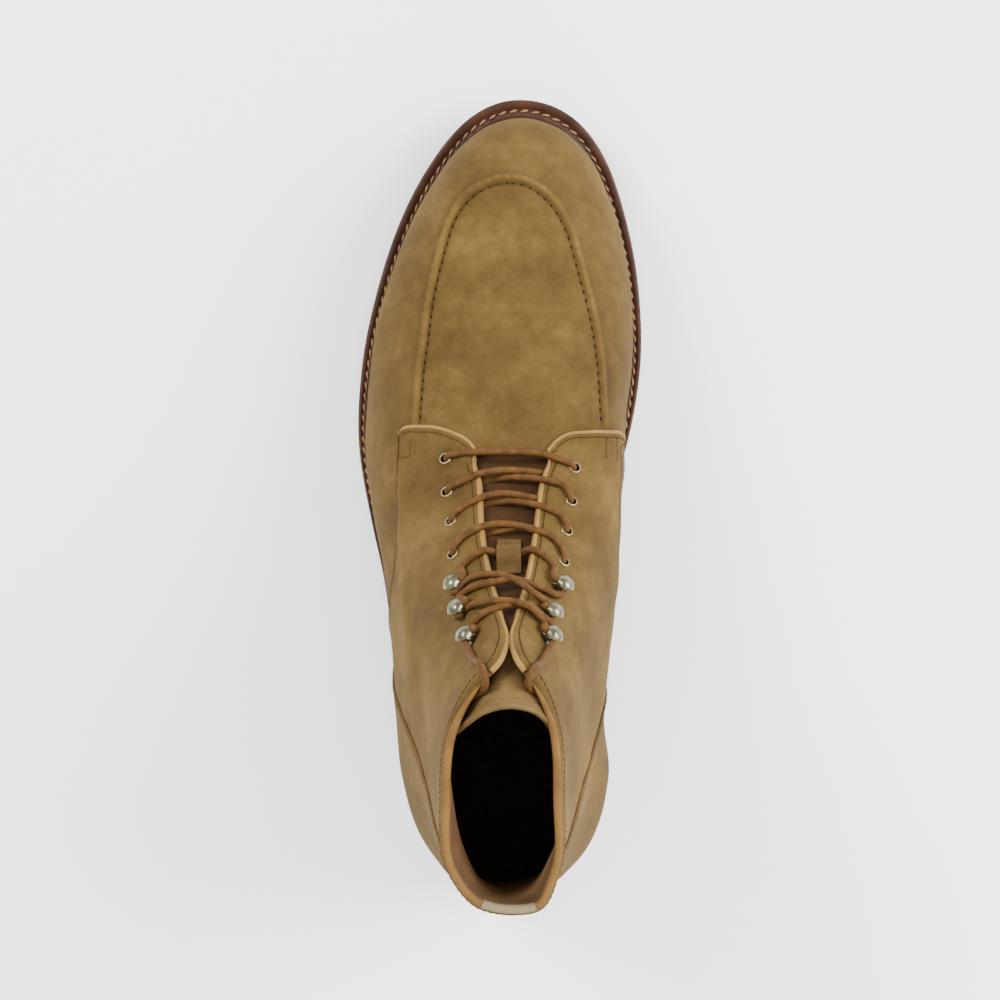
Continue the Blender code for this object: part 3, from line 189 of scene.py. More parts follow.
# %% Rows of the upper
TOE = (
    # feather_y, welt, out, up, shoulder, top
    SOLE_LENGTH, 7.4, -0.8, 10.0, (1.5, 272.4, 51.5), (1.4, 262, 54.8),
)
HEEL = (
    # feather_y, welt, out, up, shoulder, top
    0, 4.0, 1.0, 22.0, (1.0, 9.5, 101), (2.6, 10.9, 152),
)
LATERAL = (
    # feather_y, welt, out, up, shoulder, top
    (298, 7.2, -0.5, 10.5, (-9.5, 268.3, 51.5), (1.4, 256, 56.2)),
    (287, 6.5, 0.0, 11.0, (-17.8, 257.0, 52.0), (1.4, 249, 57.8)),
    (268, 6.0, 0.5, 12.0, (-24.0, 242.5, 53.2), (1.6, 239, 60.0)),
    (245, 5.5, 0.9, 13.0, (-26.6, 226.0, 55.6), (1.8, 226, 63.0)),
    (220, 5.0, 1.0, 14.0, (-28.8, 210.0, 58.5), (2.1, 210, 66.8)),
    (197, 5.0, 1.0, 15.0, (-30.5, 193.5, 62.0), (2.5, 193, 71.0)),
    (179, 4.6, 0.8, 16.0, (-31.7, 177.5, 65.6), (2.8, 174, 76.2)),
    (177, 4.4, 0.8, 16.2, (-31.6, 175.8, 66.0), (2.9, 171, 77.0)),
    (168, 3.8, 0.6, 17.0, (-31.3, 169.5, 68.0), (2.9, 168.5, 77.8)),
    (162, 3.4, 0.6, 18.0, (-31.0, 164.0, 70.0), (-9.2, 167.3, 77.9)),
    (153, 3.1, 0.6, 19.0, (-30.4, 154.5, 74.5), (-8.2, 156, 85.6)),
    (139, 2.8, 0.8, 21.0, (-29.5, 140.5, 82.5), (-7.2, 138, 103.8)),
    (125, 2.6, 1.0, 23.0, (-28.8, 127.0, 91.0), (-4.8, 124.5, 120.2)),
    (113, 2.5, 1.0, 25.0, (-28.1, 115.0, 98.5), (-1.2, 111.8, 138.2)),
    (103, 2.5, 1.0, 26.0, (-27.7, 104.5, 103.0), (0.5, 103, 153.0)),
    (97, 2.5, 0.9, 26.0, (-27.6, 98.0, 104.5), (-2.2, 97, 159.2)),
    (87, 2.5, 0.8, 26.0, (-27.6, 87.5, 105.0), (-9.5, 89.5, 159.5)),
    (70, 2.5, 0.6, 25.0, (-28.0, 71.5, 104.0), (-18.0, 73, 155.0)),
    (48, 3.0, 0.6, 24.0, (-27.0, 50.5, 102.0), (-20.6, 50, 151.0)),
    (23, 3.6, 0.1, 23.0, (-20.0, 26.5, 101.0), (-17.8, 23.6, 150.6)),
    (5, 4.0, -0.8, 22.0, (-9.6, 13.2, 101.0), (-9.8, 13.8, 151.6)),
)
MEDIAL = (
    # feather_y, welt, out, up, shoulder, top
    (298, 7.2, -0.5, 10.5, (11.8, 268.8, 51.8), (1.4, 256, 56.2)),
    (287, 6.5, 0.0, 11.5, (19.8, 260.3, 52.6), (1.4, 249, 57.8)),
    (268, 5.5, 0.5, 13.0, (26.4, 243.5, 54.4), (1.6, 239, 60.0)),
    (245, 5.0, 0.8, 14.5, (30.4, 225.5, 57.4), (1.8, 226, 63.0)),
    (220, 5.0, 1.0, 16.5, (33.0, 209.0, 60.8), (2.1, 210, 66.8)),
    (197, 5.2, 1.2, 19.0, (35.2, 193.0, 64.6), (2.5, 193, 71.0)),
    (179, 5.0, 1.8, 22.0, (36.3, 177.0, 68.4), (2.8, 174, 76.2)),
    (177, 4.8, 2.0, 22.6, (36.3, 175.3, 68.8), (2.9, 171, 77.0)),
    (168, 4.4, 3.2, 25.0, (36.0, 169.0, 71.0), (2.9, 168.5, 77.8)),
    (162, 4.0, 4.8, 27.0, (35.6, 163.5, 73.0), (14.8, 167.3, 78.3)),
    (153, 3.5, 6.6, 29.0, (34.8, 154.0, 77.5), (12.6, 156, 86.2)),
    (139, 3.0, 10.0, 30.5, (33.6, 140.0, 85.5), (10.2, 138, 104.0)),
    (125, 3.0, 11.8, 30.5, (32.3, 126.5, 93.5), (7.9, 124.5, 120.2)),
    (113, 3.0, 11.0, 30.0, (30.9, 114.5, 100.0), (4.4, 111.8, 138.2)),
    (103, 3.0, 9.4, 29.0, (29.9, 104.0, 104.0), (2.7, 103, 153.0)),
    (97, 3.0, 8.3, 28.5, (29.4, 97.5, 105.0), (5.2, 97, 159.2)),
    (87, 3.0, 6.6, 27.5, (28.8, 87.0, 105.5), (11.0, 89.5, 159.5)),
    (70, 3.0, 3.6, 26.0, (28.2, 71.0, 104.5), (17.2, 73, 155.0)),
    (48, 3.0, 2.8, 24.0, (26.6, 50.0, 102.0), (18.8, 50, 151.0)),
    (23, 3.6, 0.7, 23.0, (19.8, 26.0, 101.0), (17.7, 23.4, 150.6)),
    (5, 4.0, -0.8, 22.0, (11.0, 13.0, 101.0), (12.4, 12.6, 151.6)),
)
THROAT_ROW = 9              # row whose top point is the front of the throat
FACING_TOP_ROW = 15

# %% [markdown]
# One line runs round the side of the boot where its panels overlap: the counter's top edge over the
# quarter at the back, then the quarter's lower edge over the vamp.

# %% Edge of the panels
PANEL_EDGE = (
    # y, z
    (0, 118.0), (30, 116.0), (48, 108.0), (60, 94.0), (72, 74.0), (84, 52.0), (95, 33.0),
    (98, 42.0), (104, 53.0), (113, 62.5), (123, 67.5), (132, 69.5), (145, 68.0), (160, 64.3),
    (175, 59.7), (185, 57.0),
)

# %% [markdown]
# Hermite curves join the rows of those tables. A hermite span knows the place and the slope at both of
# its ends, so neighbouring spans meet with no corner.

# %% Curves of the last
def slope_between(before, here, after, start, middle, end):
    """Tangent at a middle row, weighted to the nearer neighbour."""
    first, second = middle - start, end - middle
    return ((here - before) / first * second + (after - here) / second * first) / (first + second)


def smooth_value(table, at):
    """Value of a two column table on a smooth curve that keeps its flats and never overshoots."""
    xs = np.array([row[0] for row in table], float)
    ys = np.array([row[1] for row in table], float)
    steps = np.diff(ys) / np.diff(xs)
    slopes = np.zeros(len(xs))
    for i in range(1, len(xs) - 1):
        if steps[i - 1] * steps[i] > 0:
            slopes[i] = 2 * steps[i - 1] * steps[i] / (steps[i - 1] + steps[i])
    slopes[0], slopes[-1] = steps[0], steps[-1]
    i = int(np.clip(np.searchsorted(xs, at) - 1, 0, len(xs) - 2))
    span = xs[i + 1] - xs[i]
    return hermite(ys[i], ys[i + 1], slopes[i], slopes[i + 1], span, (at - xs[i]) / span)


def hermite(start, end, start_slope, end_slope, span, f):
    """The value a share f of the way from start to end, with the given slopes at the two."""
    a = 2 * f**3 - 3 * f**2 + 1
    b = f**3 - 2 * f**2 + f
    c = -2 * f**3 + 3 * f**2
    d = f**3 - f**2
    return a * start + b * span * start_slope + c * end + d * span * end_slope


def run_lengths(points):
    """Distance travelled along a line at each of its points."""
    return np.concatenate([[0], np.cumsum(np.linalg.norm(np.diff(points, axis=0), axis=1))])


def read_along(lengths, values, wanted):
    """Rows of values read off at the wanted distances along a line."""
    return np.stack([np.interp(wanted, lengths, column) for column in np.transpose(values)], axis=-1)


def unit(vector):
    """A vector's direction, one long."""
    return vector / np.linalg.norm(vector)


def units(vectors):
    """The directions of a table of vectors, each one long."""
    return vectors / np.linalg.norm(vectors, axis=-1)[..., None]


# %% [markdown]
# The table of the sole's edge becomes two dense lines of points, heel to toe, with the outward direction
# at each, so that the edge can be moved in or out by any distance.

# %% Sides of the sole
def turn_of(y):
    """Angle of a half turn from heel (0) to toe (pi) that keeps both ends of the outline round."""
    return math.acos(max(-1.0, min(1.0, 1 - 2 * y / SOLE_LENGTH)))


def edge_samples(side, count=600):
    """Dense points of one side of the sole's edge, heel to toe."""
    turns = [turn_of(row[0]) for row in SOLE_EDGE]
    xs = [row[1 if side == "lateral" else 2] for row in SOLE_EDGE]
    slopes = [0.0] * len(xs)
    for i in range(1, len(xs) - 1):
        slopes[i] = slope_between(xs[i - 1], xs[i], xs[i + 1], turns[i - 1], turns[i], turns[i + 1])
    slopes[0] = 1.5 * (xs[1] - xs[0]) / (turns[1] - turns[0]) - 0.5 * slopes[1]
    slopes[-1] = 1.5 * (xs[-1] - xs[-2]) / (turns[-1] - turns[-2]) - 0.5 * slopes[-2]
    points = []
    for turn in np.linspace(0, math.pi, count):
        i = min(max(np.searchsorted(turns, turn) - 1, 0), len(turns) - 2)
        span = turns[i + 1] - turns[i]
        x = hermite(xs[i], xs[i + 1], slopes[i], slopes[i + 1], span, (turn - turns[i]) / span)
        points.append((x, SOLE_LENGTH / 2 * (1 - math.cos(turn))))
    return np.array(points)


SAMPLES = {side: edge_samples(side) for side in BOTH_SIDES}


def edge_normals(side):
    """Outward directions of one side of the sole, seen from above."""
    tangents = units(np.gradient(SAMPLES[side], axis=0))
    out = 1 if side == "medial" else -1
    normals = np.stack([tangents[:, 1], -tangents[:, 0]], axis=1) * out
    normals[0], normals[-1] = (0, -1), (0, 1)
    return normals


NORMALS = {side: edge_normals(side) for side in BOTH_SIDES}
print("width of the sole", round(float(np.ptp([s[:, 0] for s in SAMPLES.values()])), 1), "mm")


def inset_edge(side, inset):
    """The edge moved inwards, heel to toe."""
    return SAMPLES[side] - NORMALS[side] * inset


def tread(y):
    """Height of the sole's underside at a distance from the back of the heel."""
    return smooth_value(TREAD, min(max(y, 0.0), SOLE_LENGTH))


def feather_height(y):
    """Height of the welt's top, which the upper stands on."""
    return tread(y) + OUTSOLE_THICK + MIDSOLE_THICK + WELT_THICK


# %% [markdown]
# Each section of the upper is one smooth curve from the welt to the top line, through the fullest point
# of the wall and the shoulder. In front it ends level, so that both sides meet in one soft ridge.

# %% Sections of the upper
LOOP = [TOE, *LATERAL, HEEL, *reversed(MEDIAL)]
SIDES = [None] + ["lateral"] * len(LATERAL) + [None] + ["medial"] * len(MEDIAL)
HEEL_AT = len(LATERAL) + 1
TOP_CORNERS = {0, THROAT_ROW, len(LOOP) - THROAT_ROW}
EDGE_SAMPLE_COUNT = len(SAMPLES["lateral"])


def feather_and_swell(index):
    """The point where this section meets the welt, and the fullest point of its wall."""
    station, welt, out, up = LOOP[index][:4]
    side = SIDES[index] or "medial"
    turn = turn_of(station) / math.pi * (EDGE_SAMPLE_COUNT - 1)
    edge = read_along(range(EDGE_SAMPLE_COUNT), SAMPLES[side], turn)
    normal = read_along(range(EDGE_SAMPLE_COUNT), NORMALS[side], turn)
    foot = edge - normal * welt
    full = edge - normal * (welt - out)
    base = feather_height(foot[1]) + CURVED_GAP
    return np.array([*foot, base]), np.array([*full, base + up])


FEATHER = np.array([feather_and_swell(i)[0] for i in range(len(LOOP))])
SWELL = np.array([feather_and_swell(i)[1] for i in range(len(LOOP))])
SHOULDER = np.array([row[4] for row in LOOP], float)
TOP = np.array([row[5] for row in LOOP], float)


def tangent(line, i, corners):
    """Slope of a closed line at one of its rows; none at a corner."""
    if i in corners:
        return None
    count = len(line)
    before, here, after = line[i - 1], line[i], line[(i + 1) % count]
    first, second = np.linalg.norm(here - before), np.linalg.norm(after - here)
    return slope_between(before, here, after, 0, first, first + second)


def along(line, at, corners=()):
    """Point of a closed line at a row number with a fraction, smooth except at the corner rows."""
    count = len(line)
    i = int(math.floor(at)) % count
    f = at - math.floor(at)
    start, end = line[i], line[(i + 1) % count]
    span = np.linalg.norm(end - start)
    chord = (end - start) / span
    first, last = tangent(line, i, corners), tangent(line, (i + 1) % count, corners)
    return hermite(start, end, chord if first is None else first, chord if last is None else last, span, f)


def front_share(at):
    """1 where the section ends on the vamp's ridge, 0 where it ends on a free edge."""
    rows = at if at <= HEEL_AT else len(LOOP) - at
    return min(max(THROAT_ROW + 1 - rows, 0.0), 1.0)


def section(at, steps=20):
    """Dense curve from the welt up to the top line, with the distances of its key points."""
    keys = [along(line, at) for line in (FEATHER, SWELL, SHOULDER)] + [along(TOP, at, TOP_CORNERS)]
    spans = [np.linalg.norm(b - a) for a, b in zip(keys, keys[1:])]
    chords = [(b - a) / span for a, b, span in zip(keys, keys[1:], spans)]
    slopes = [None] * 4
    for i in (1, 2):
        slopes[i] = (chords[i - 1] * spans[i] + chords[i] * spans[i - 1]) / (spans[i - 1] + spans[i])
    slopes[0] = 1.5 * chords[0] - 0.5 * slopes[1]
    free = 1.5 * chords[2] - 0.5 * slopes[2]
    ridge = along(TOP, 0.3) - along(TOP, THROAT_ROW - 0.3)
    level = np.array([chords[2][0], chords[2][1], chords[2][1] * ridge[2] / ridge[1]])
    level /= np.linalg.norm(level)
    share = front_share(at)
    slopes[3] = level * share + free * (1 - share)
    points = [keys[0]]
    for i in range(3):
        for step in range(1, steps + 1):
            points.append(hermite(keys[i], keys[i + 1], slopes[i], slopes[i + 1], spans[i], step / steps))
    points = np.array(points)
    lengths = run_lengths(points)
    return points, lengths, (lengths[steps], lengths[2 * steps], lengths[-1])


print("sections of the upper:", len(LOOP))

# %% [markdown]
# The upper's surface is asked for by a row number round the loop and a share of the way up the section.
# Asking the curves many thousands of times is slow, so they are cut once into a fine table, with the
# outward direction at every point, and all later pieces read that.

# %% Table of the upper's surface
ROWS_IN_LOOP = len(LOOP)
ROW_PARTS = 20
SHARE_PARTS = 200
LOW_PARTS = 60              # up to here the wall faces straight away from the boot's middle
BOOT_MIDDLE = (0.0, 150.0, 40.0)


def real_row(side, row):
    """Number in the loop of a row counted from the toe down one side."""
    return row if side == "lateral" else ROWS_IN_LOOP - row


def skin_tables():
    """Even points up every section, their outward directions, and each section's key lengths."""
    points, keys = [], []
    for k in range(ROWS_IN_LOOP * ROW_PARTS):
        curve, lengths, (swell, shoulder, full) = section(k / ROW_PARTS)
        points.append(read_along(lengths, curve, np.linspace(0, full, SHARE_PARTS + 1)))
        keys.append((swell, shoulder, full))
    points = np.array(points)
    along_loop = np.roll(points, -1, axis=0) - np.roll(points, 1, axis=0)
    out = units(np.cross(along_loop, np.gradient(points, axis=1)))
    low, middle = slice(0, LOW_PARTS), np.array(BOOT_MIDDLE)
    if np.einsum("ijk,ijk->ij", out[:, low], points[:, low] - middle).mean() < 0:
        out = -out
    return points, out, np.array(keys)


SKIN, SKIN_OUT, SKIN_KEYS = skin_tables()


def look_up(table, at, share):
    """Table value between four neighbours; at wraps round the loop."""
    x = np.mod(np.asarray(at, float), ROWS_IN_LOOP) * ROW_PARTS
    y = np.clip(np.asarray(share, float), 0, 1) * SHARE_PARTS
    i, j = np.floor(x).astype(int), np.minimum(np.floor(y).astype(int), SHARE_PARTS - 1)
    fx, fy = (x - i)[..., None], (y - j)[..., None]
    i, after = i % len(table), (i + 1) % len(table)
    low = table[i, j] * (1 - fx) + table[after, j] * fx
    high = table[i, j + 1] * (1 - fx) + table[after, j + 1] * fx
    return low * (1 - fy) + high * fy


def key_lengths(at):
    """Swell, shoulder and full length of the section at each row number."""
    x = np.mod(np.asarray(at, float), ROWS_IN_LOOP) * ROW_PARTS
    i = np.floor(x).astype(int)
    f = (x - i)[..., None]
    return SKIN_KEYS[i % len(SKIN_KEYS)] * (1 - f) + SKIN_KEYS[(i + 1) % len(SKIN_KEYS)] * f


def directions(at, share):
    """Outward directions of the upper at these row numbers and shares."""
    return units(look_up(SKIN_OUT, at, share))


SEEN_FROM = 40              # the wall's parts below this are hidden from above
UPHILL = 0.004              # of two layers at one place the higher one is seen
FINE_STEPS = 11


def locate(x, y):
    """Row number and share of the upper's surface seen from above at (x, y)."""
    high = SKIN[:, SEEN_FROM:]
    cost = (high[..., 0] - x) ** 2 + (high[..., 1] - y) ** 2 - UPHILL * high[..., 2]
    i, j = np.unravel_index(np.argmin(cost), cost.shape)
    at, share = i / ROW_PARTS, (j + SEEN_FROM) / SHARE_PARTS
    step_at, step_share = 1 / ROW_PARTS, 1 / SHARE_PARTS
    for _ in range(2):
        ats = at + np.linspace(-step_at, step_at, FINE_STEPS)[:, None] + np.zeros((1, FINE_STEPS))
        shares = share + np.linspace(-step_share, step_share, FINE_STEPS)[None, :]
        shares = np.clip(shares, 0, 1) + np.zeros((FINE_STEPS, 1))
        near = look_up(SKIN, ats, shares)
        cost = (near[..., 0] - x) ** 2 + (near[..., 1] - y) ** 2
        i, j = np.unravel_index(np.argmin(cost), cost.shape)
        at, share = ats[i, j], shares[i, j]
        step_at, step_share = step_at / 5, step_share / 5
    return at, share


print("skin table", SKIN.shape, "height of the collar", round(float(SKIN[..., 2].max()), 1))

# %% [markdown]
# Leather that has been walked in is never flat. The folds, soft ridges and hollows are listed: each
# is a short line on the boot, seen from above, with a width and a height. Every outer layer is lifted by
# the same sum of them, so that a fold runs on from one panel to the next.

# %% Folds and hollows of the leather
FOLDS = (
    # from x, from y, to x, to y, half width, height (minus for a hollow)
    (-36.8, 158.0, -35.9, 122.0, 1.5, 0.6),
    (-35.6, 112.0, -31.6, 76.0, 1.5, 0.6),
    (-40.5, 150.0, -39.5, 122.0, 2.4, -0.6),
    (32.8, 77.0, 28.0, 58.0, 1.8, 0.8),
    (27.0, 56.0, 23.0, 32.0, 1.6, 0.8),
    (36.0, 74.0, 31.0, 54.0, 2.4, -0.6),
    (41.0, 165.0, 39.0, 120.0, 4.0, 0.8),
    (33.0, 160.0, 36.0, 116.0, 4.0, -0.6),
    (-10.0, 236.0, 14.0, 234.0, 7.0, 0.35),
    (-22.0, 196.0, 24.0, 193.0, 5.0, 0.4),
    (-20.0, 207.0, 22.0, 206.0, 5.0, -0.35),
)


def fold_lift(points):
    """Height of the folds and the soft unevenness of the hide at each point."""
    flat = points.reshape(-1, 3)
    lift = np.zeros(len(flat))
    for x1, y1, x2, y2, width, height in FOLDS:
        start, run = np.array([x1, y1]), np.array([x2 - x1, y2 - y1])
        f = np.clip((flat[:, :2] - start) @ run / (run @ run), -0.4, 1.4)
        near = start + f[:, None] * run
        gone = np.clip(np.abs(f - 0.5) - 0.5, 0, None) / 0.4
        lift += height * np.exp(-((flat[:, :2] - near) ** 2).sum(axis=1) / (2 * width**2)) * (1 - gone) ** 2
    for k, (x, y, z) in enumerate(flat):
        lift[k] += (0.28 * noise.noise((x / 26, y / 26, z / 26))
                    + 0.12 * noise.noise((x / 9, y / 9, z / 9 + 5)))
    return lift.reshape(points.shape[:-1])


def fold_at(point):
    """Height of the folds at one point."""
    return float(fold_lift(point[None])[0])


def fold_rub_and_shade(points):
    """How light the nap is painted on the folds' ridges and bumps, by rubbing and painted highlight, and
    how dark in the hollows, as painted shade.
    """
    return np.clip(0.6 * fold_lift(points), -0.5, 0.5)


# %% [markdown]
# Almost every piece starts as a plain grid from bmesh.ops.create_grid and is then laid on the last: the
# grid gives the faces and the UV map, and a table of places moves its points. A tube is the same grid
# rolled up, with its doubled points merged.

# %% Laying a grid on the boot
def place(point):
    """From the boot's millimetres to metres, with the middle of the sole at x = y = 0."""
    return Vector(((point[0] - SOLE_MIDDLE_X) * MM, (point[1] - SOLE_LENGTH / 2) * MM, point[2] * MM))


def laid_grid(places, uvs=None, second=None, rubs_and_shades=None):
    """A bmesh grid with its points at places[column][row], and UVs in metres where given.

    second(column, row) says which faces take the second finish. The last argument says how far the nap is
    painted light (over 0), by rubbing and painted highlight, or dark (under 0) as painted shade, at each
    point, for the suede to read."""
    columns, rows = places.shape[0] - 1, places.shape[1] - 1
    shape = bmesh.new()
    uv_layer = shape.loops.layers.uv.new("UVMap")
    rub_and_shade_layer = shape.verts.layers.float.new("rub_and_shade")
    bmesh.ops.create_grid(shape, x_segments=columns, y_segments=rows, size=1.0, calc_uvs=True)
    index = {}
    for vertex in shape.verts:
        i, j = round((vertex.co.x + 1) / 2 * columns), round((vertex.co.y + 1) / 2 * rows)
        index[vertex] = (i, j)
        vertex.co = place(places[i, j])
        vertex[rub_and_shade_layer] = 0.0 if rubs_and_shades is None else rubs_and_shades[i, j]
    if uvs is not None:
        for face in shape.faces:
            for loop in face.loops:
                loop[uv_layer].uv = uvs[index[loop.vert]] * MM
    if second is not None:
        for face in shape.faces:
            face.material_index = int(second(*(min(index[v][k] for v in face.verts) for k in (0, 1))))
    return shape


# %% [markdown]
# A finished piece is joined where its points lie on each other and has its faces turned outwards. It gets
# its finish and rides on the boot's one body.

# %% Finishing a piece
SAME_PLACE = 0.02           # points closer than this are one


def merge_doubles(shape):
    """Joins the points that lie on each other, as where a grid is rolled up into a tube."""
    bmesh.ops.remove_doubles(shape, verts=shape.verts, dist=SAME_PLACE * MM)


def finish_piece(name, shape, finishes, smooth=50, merge=SAME_PLACE, recalculate=True):
    """Closes the mesh, gives it its finish and hangs it on the boot's one body."""
    if merge:
        bmesh.ops.remove_doubles(shape, verts=shape.verts, dist=merge * MM)
        bmesh.ops.dissolve_degenerate(shape, edges=shape.edges, dist=0.001 * MM)
    if recalculate:
        bmesh.ops.recalc_face_normals(shape, faces=shape.faces)
    made = mesh_object(name, shape)
    for finish in finishes:
        made.data.materials.append(finish)
    made.data.shade_smooth()
    made.data.set_sharp_from_angle(angle=math.radians(smooth))
    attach(made, BODY)
    print(name, len(made.data.polygons), "faces")
    return made


def faces_out(shape, middle=BOOT_MIDDLE):
    """Turns an open sheet so that its faces look away from the middle of the boot."""
    bmesh.ops.recalc_face_normals(shape, faces=shape.faces)
    centre = place(middle)
    total = sum(f.normal.dot(f.calc_center_median() - centre) * f.calc_area() for f in shape.faces)
    if total < 0:
        bmesh.ops.reverse_faces(shape, faces=shape.faces)


def sheet_piece(name, shape, finishes, middle=BOOT_MIDDLE):
    """An open sheet that faces away from middle, left open for its wall."""
    faces_out(shape, middle)
    return finish_piece(name, shape, finishes, merge=0, recalculate=False)


# %% [markdown]
# A binding, an edge strip or a lace is a grid rolled up round a path. Its rings are turned as little as
# possible from one to the next, so that nothing twists, and its UV map is in real lengths.

# %% Rolled pieces and tubes
def grid_uvs(places):
    """Distances along and across the grid, in millimetres."""
    across = np.linalg.norm(np.diff(places, axis=0), axis=2).mean(axis=1)
    up = np.linalg.norm(np.diff(places, axis=1), axis=2).mean(axis=0)
    u = np.concatenate([[0], np.cumsum(across)])
    v = np.concatenate([[0], np.cumsum(up)])
    return np.stack(np.meshgrid(u, v, indexing="ij"), axis=2)


def tube_places(path, radius, sides):
    """Rings round a path, turned as little as possible, each ring's last point on its first."""
    path = np.asarray(path)
    side = unit(np.cross(path[1] - path[0], np.array([0.1, 0.3, 1.0])))
    radii = radius if hasattr(radius, "__len__") else [radius] * len(path)
    rings = []
    for i, point in enumerate(path):
        run = unit(path[min(i + 1, len(path) - 1)] - path[max(i - 1, 0)])
        side = unit(side - run * np.dot(side, run))
        other = np.cross(run, side)
        turns = np.linspace(0, 2 * math.pi, sides + 1)
        rings.append([point + (side * math.cos(t) + other * math.sin(t)) * radii[i] for t in turns])
    return np.array(rings)


def cap_ends(shape):
    """Fills the open ends of a tube or a block."""
    open_edges = [e for e in shape.edges if len(e.link_faces) == 1]
    if open_edges:
        bmesh.ops.holes_fill(shape, edges=open_edges, sides=0)


def rolled_piece(name, places, finish):
    """A grid rolled up round its rows, with its ends filled."""
    shape = laid_grid(places, grid_uvs(places))
    merge_doubles(shape)
    cap_ends(shape)
    return finish_piece(name, shape, [finish], smooth=60)


def tube(name, path, radius, sides, finish):
    """A round tube along a path, with one radius or one for each of its points."""
    return rolled_piece(name, tube_places(path, radius, sides), finish)


# %% [markdown]
# Soft lines are drawn with a few points each. A smooth curve is run through them and read off at even
# steps; a sheet that is given as a net of knots is smoothed that way in both directions.

# %% Smooth lines and sheets
PATH_PARTS = 12


def dense_curve(line, parts):
    """A smooth curve through a line's points, in so many parts from each to the next."""
    before = [2 * line[0] - line[1], *line[:-1]]
    after = [*line[1:], 2 * line[-1] - line[-2]]
    slopes = []
    for earlier, here, later in zip(before, line, after):
        first, second = (max(np.linalg.norm(step), 1e-6) for step in (here - earlier, later - here))
        slopes.append(slope_between(earlier, here, later, 0, first, first + second))
    dense = []
    for i, (start, end) in enumerate(zip(line, line[1:])):
        span = max(np.linalg.norm(end - start), 1e-6)
        dense += [hermite(start, end, slopes[i], slopes[i + 1], span, f)
                  for f in np.linspace(0, 1, parts, endpoint=False)]
    return np.array([*dense, line[-1]])


def smooth_path(route, step):
    """Even points on a smooth curve through the route's points."""
    dense = dense_curve([np.array(point, float) for point in route], PATH_PARTS)
    lengths = run_lengths(dense)
    count = max(3, int(round(lengths[-1] / step)) + 1)
    return read_along(lengths, dense, np.linspace(0, lengths[-1], count))


def smooth_sheet(knots, parts):
    """A net of knots, smoothed along and across into a grid of places."""
    for _ in range(2):
        knots = np.array([dense_curve(line, parts) for line in np.swapaxes(knots, 0, 1)])
    return knots


# %% [markdown]
# Everything on the facings is placed from the facing's own edge: how far back it lies, and how far in
# from the edge. Each such spot knows the directions towards the throat, up the facing and off the leather.

# %% Spots on the facings
def below_edge(at, drop):
    """Point of the base surface this far down from its top line."""
    full = float(key_lengths(at)[2])
    return look_up(SKIN, at, 1 - drop / full)


def surface_frame(at, drop):
    """Point, outward direction, direction to the top line and direction along the loop."""
    here = below_edge(at, drop)
    toward_edge = unit(here - below_edge(at, drop + 1.5))
    run = below_edge(at + 0.1, drop) - below_edge(at - 0.1, drop)
    outward = unit(np.cross(run, toward_edge))
    return here, outward, toward_edge, unit(np.cross(toward_edge, outward))


class Spot:
    """A place on the outside of a quarter, so far down from the facing's edge."""

    def __init__(self, side, edge_y, drop):
        at = real_row(side, self.row_where(edge_y))
        here, self.normal, self.inward, run = surface_frame(at, drop)
        self.up = run if side == "lateral" else -run
        self.point = here + self.normal * (QUARTER_STEP + fold_at(here))

    @staticmethod
    def row_where(edge_y):
        """Row, counted from the toe, where the facing's edge is this far from the heel."""
        low, high = THROAT_ROW + 1.0, FACING_TOP_ROW + 2.5
        for _ in range(30):
            middle = (low + high) / 2
            if along(TOP, middle, TOP_CORNERS)[1] > edge_y:
                low = middle
            else:
                high = middle
        return low

    def at_offset(self, inward=0.0, up=0.0, lift=0.0):
        """Point this far towards the throat, up the facing, and off the leather."""
        return self.point + self.inward * inward + self.up * up + self.normal * lift

    def matrix(self):
        """Turns inward, up and lift, in metres, into the boot's place."""
        turn = Matrix((self.inward, self.up, self.normal)).transposed().to_4x4()
        return Matrix.Translation(place(self.point)) @ turn


# Height of the facing's edge level with each hole or hook, and its distance from that edge.
LATERAL_EYELETS = ((167.0, 12.2), (153.3, 13.6), (141.2, 14.1), (129.2, 16.9))
MEDIAL_EYELETS = ((163.7, 10.4), (149.7, 13.0), (137.8, 14.0), (127.0, 15.9))
LATERAL_HOOKS = ((117.4, 19.4), (109.4, 22.0), (101.4, 19.6))
MEDIAL_HOOKS = ((117.4, 17.6), (108.9, 17.2), (101.9, 19.4))
FACINGS = {"lateral": (LATERAL_EYELETS, LATERAL_HOOKS), "medial": (MEDIAL_EYELETS, MEDIAL_HOOKS)}
EYELETS = {side: [Spot(side, *row) for row in rows[0]] for side, rows in FACINGS.items()}
HOOKS = {side: [Spot(side, *row) for row in rows[1]] for side, rows in FACINGS.items()}
print("eyelets and hooks:", sum(map(len, EYELETS.values())), sum(map(len, HOOKS.values())))

# %% [markdown]
# Finishes share two effects, each a shader node group with named sockets. The first gives the cloudy
# patches and the short nap of suede, the second the pores of smooth leather. The Principled shader itself
# stays in each material.

# %% Shared effects as node groups
def new_group(name, outputs):
    """An empty node group that takes a vector and gives values, with its two end nodes."""
    group = bpy.data.node_groups.new(name, "ShaderNodeTree")
    group.interface.new_socket("Vector", in_out="INPUT", socket_type="NodeSocketVector")
    for label in outputs:
        group.interface.new_socket(label, in_out="OUTPUT", socket_type="NodeSocketFloat")
    start, end = group.nodes.new("NodeGroupInput"), group.nodes.new("NodeGroupOutput")
    return group, start.outputs["Vector"], end


def feed(tree, node, values):
    """Gives a node's sockets plain values, or links them to other nodes' outputs."""
    for socket, value in values.items():
        if isinstance(value, (int, float, tuple)):
            node.inputs[socket].default_value = value
        else:
            tree.links.new(value, node.inputs[socket])


def add_node(tree, kind, values, output=0, **settings):
    """A new node with its settings and sockets; returns one of its outputs."""
    node = tree.nodes.new("ShaderNode" + kind)
    for name, value in settings.items():
        setattr(node, name, value)
    feed(tree, node, values)
    return node.outputs[output]


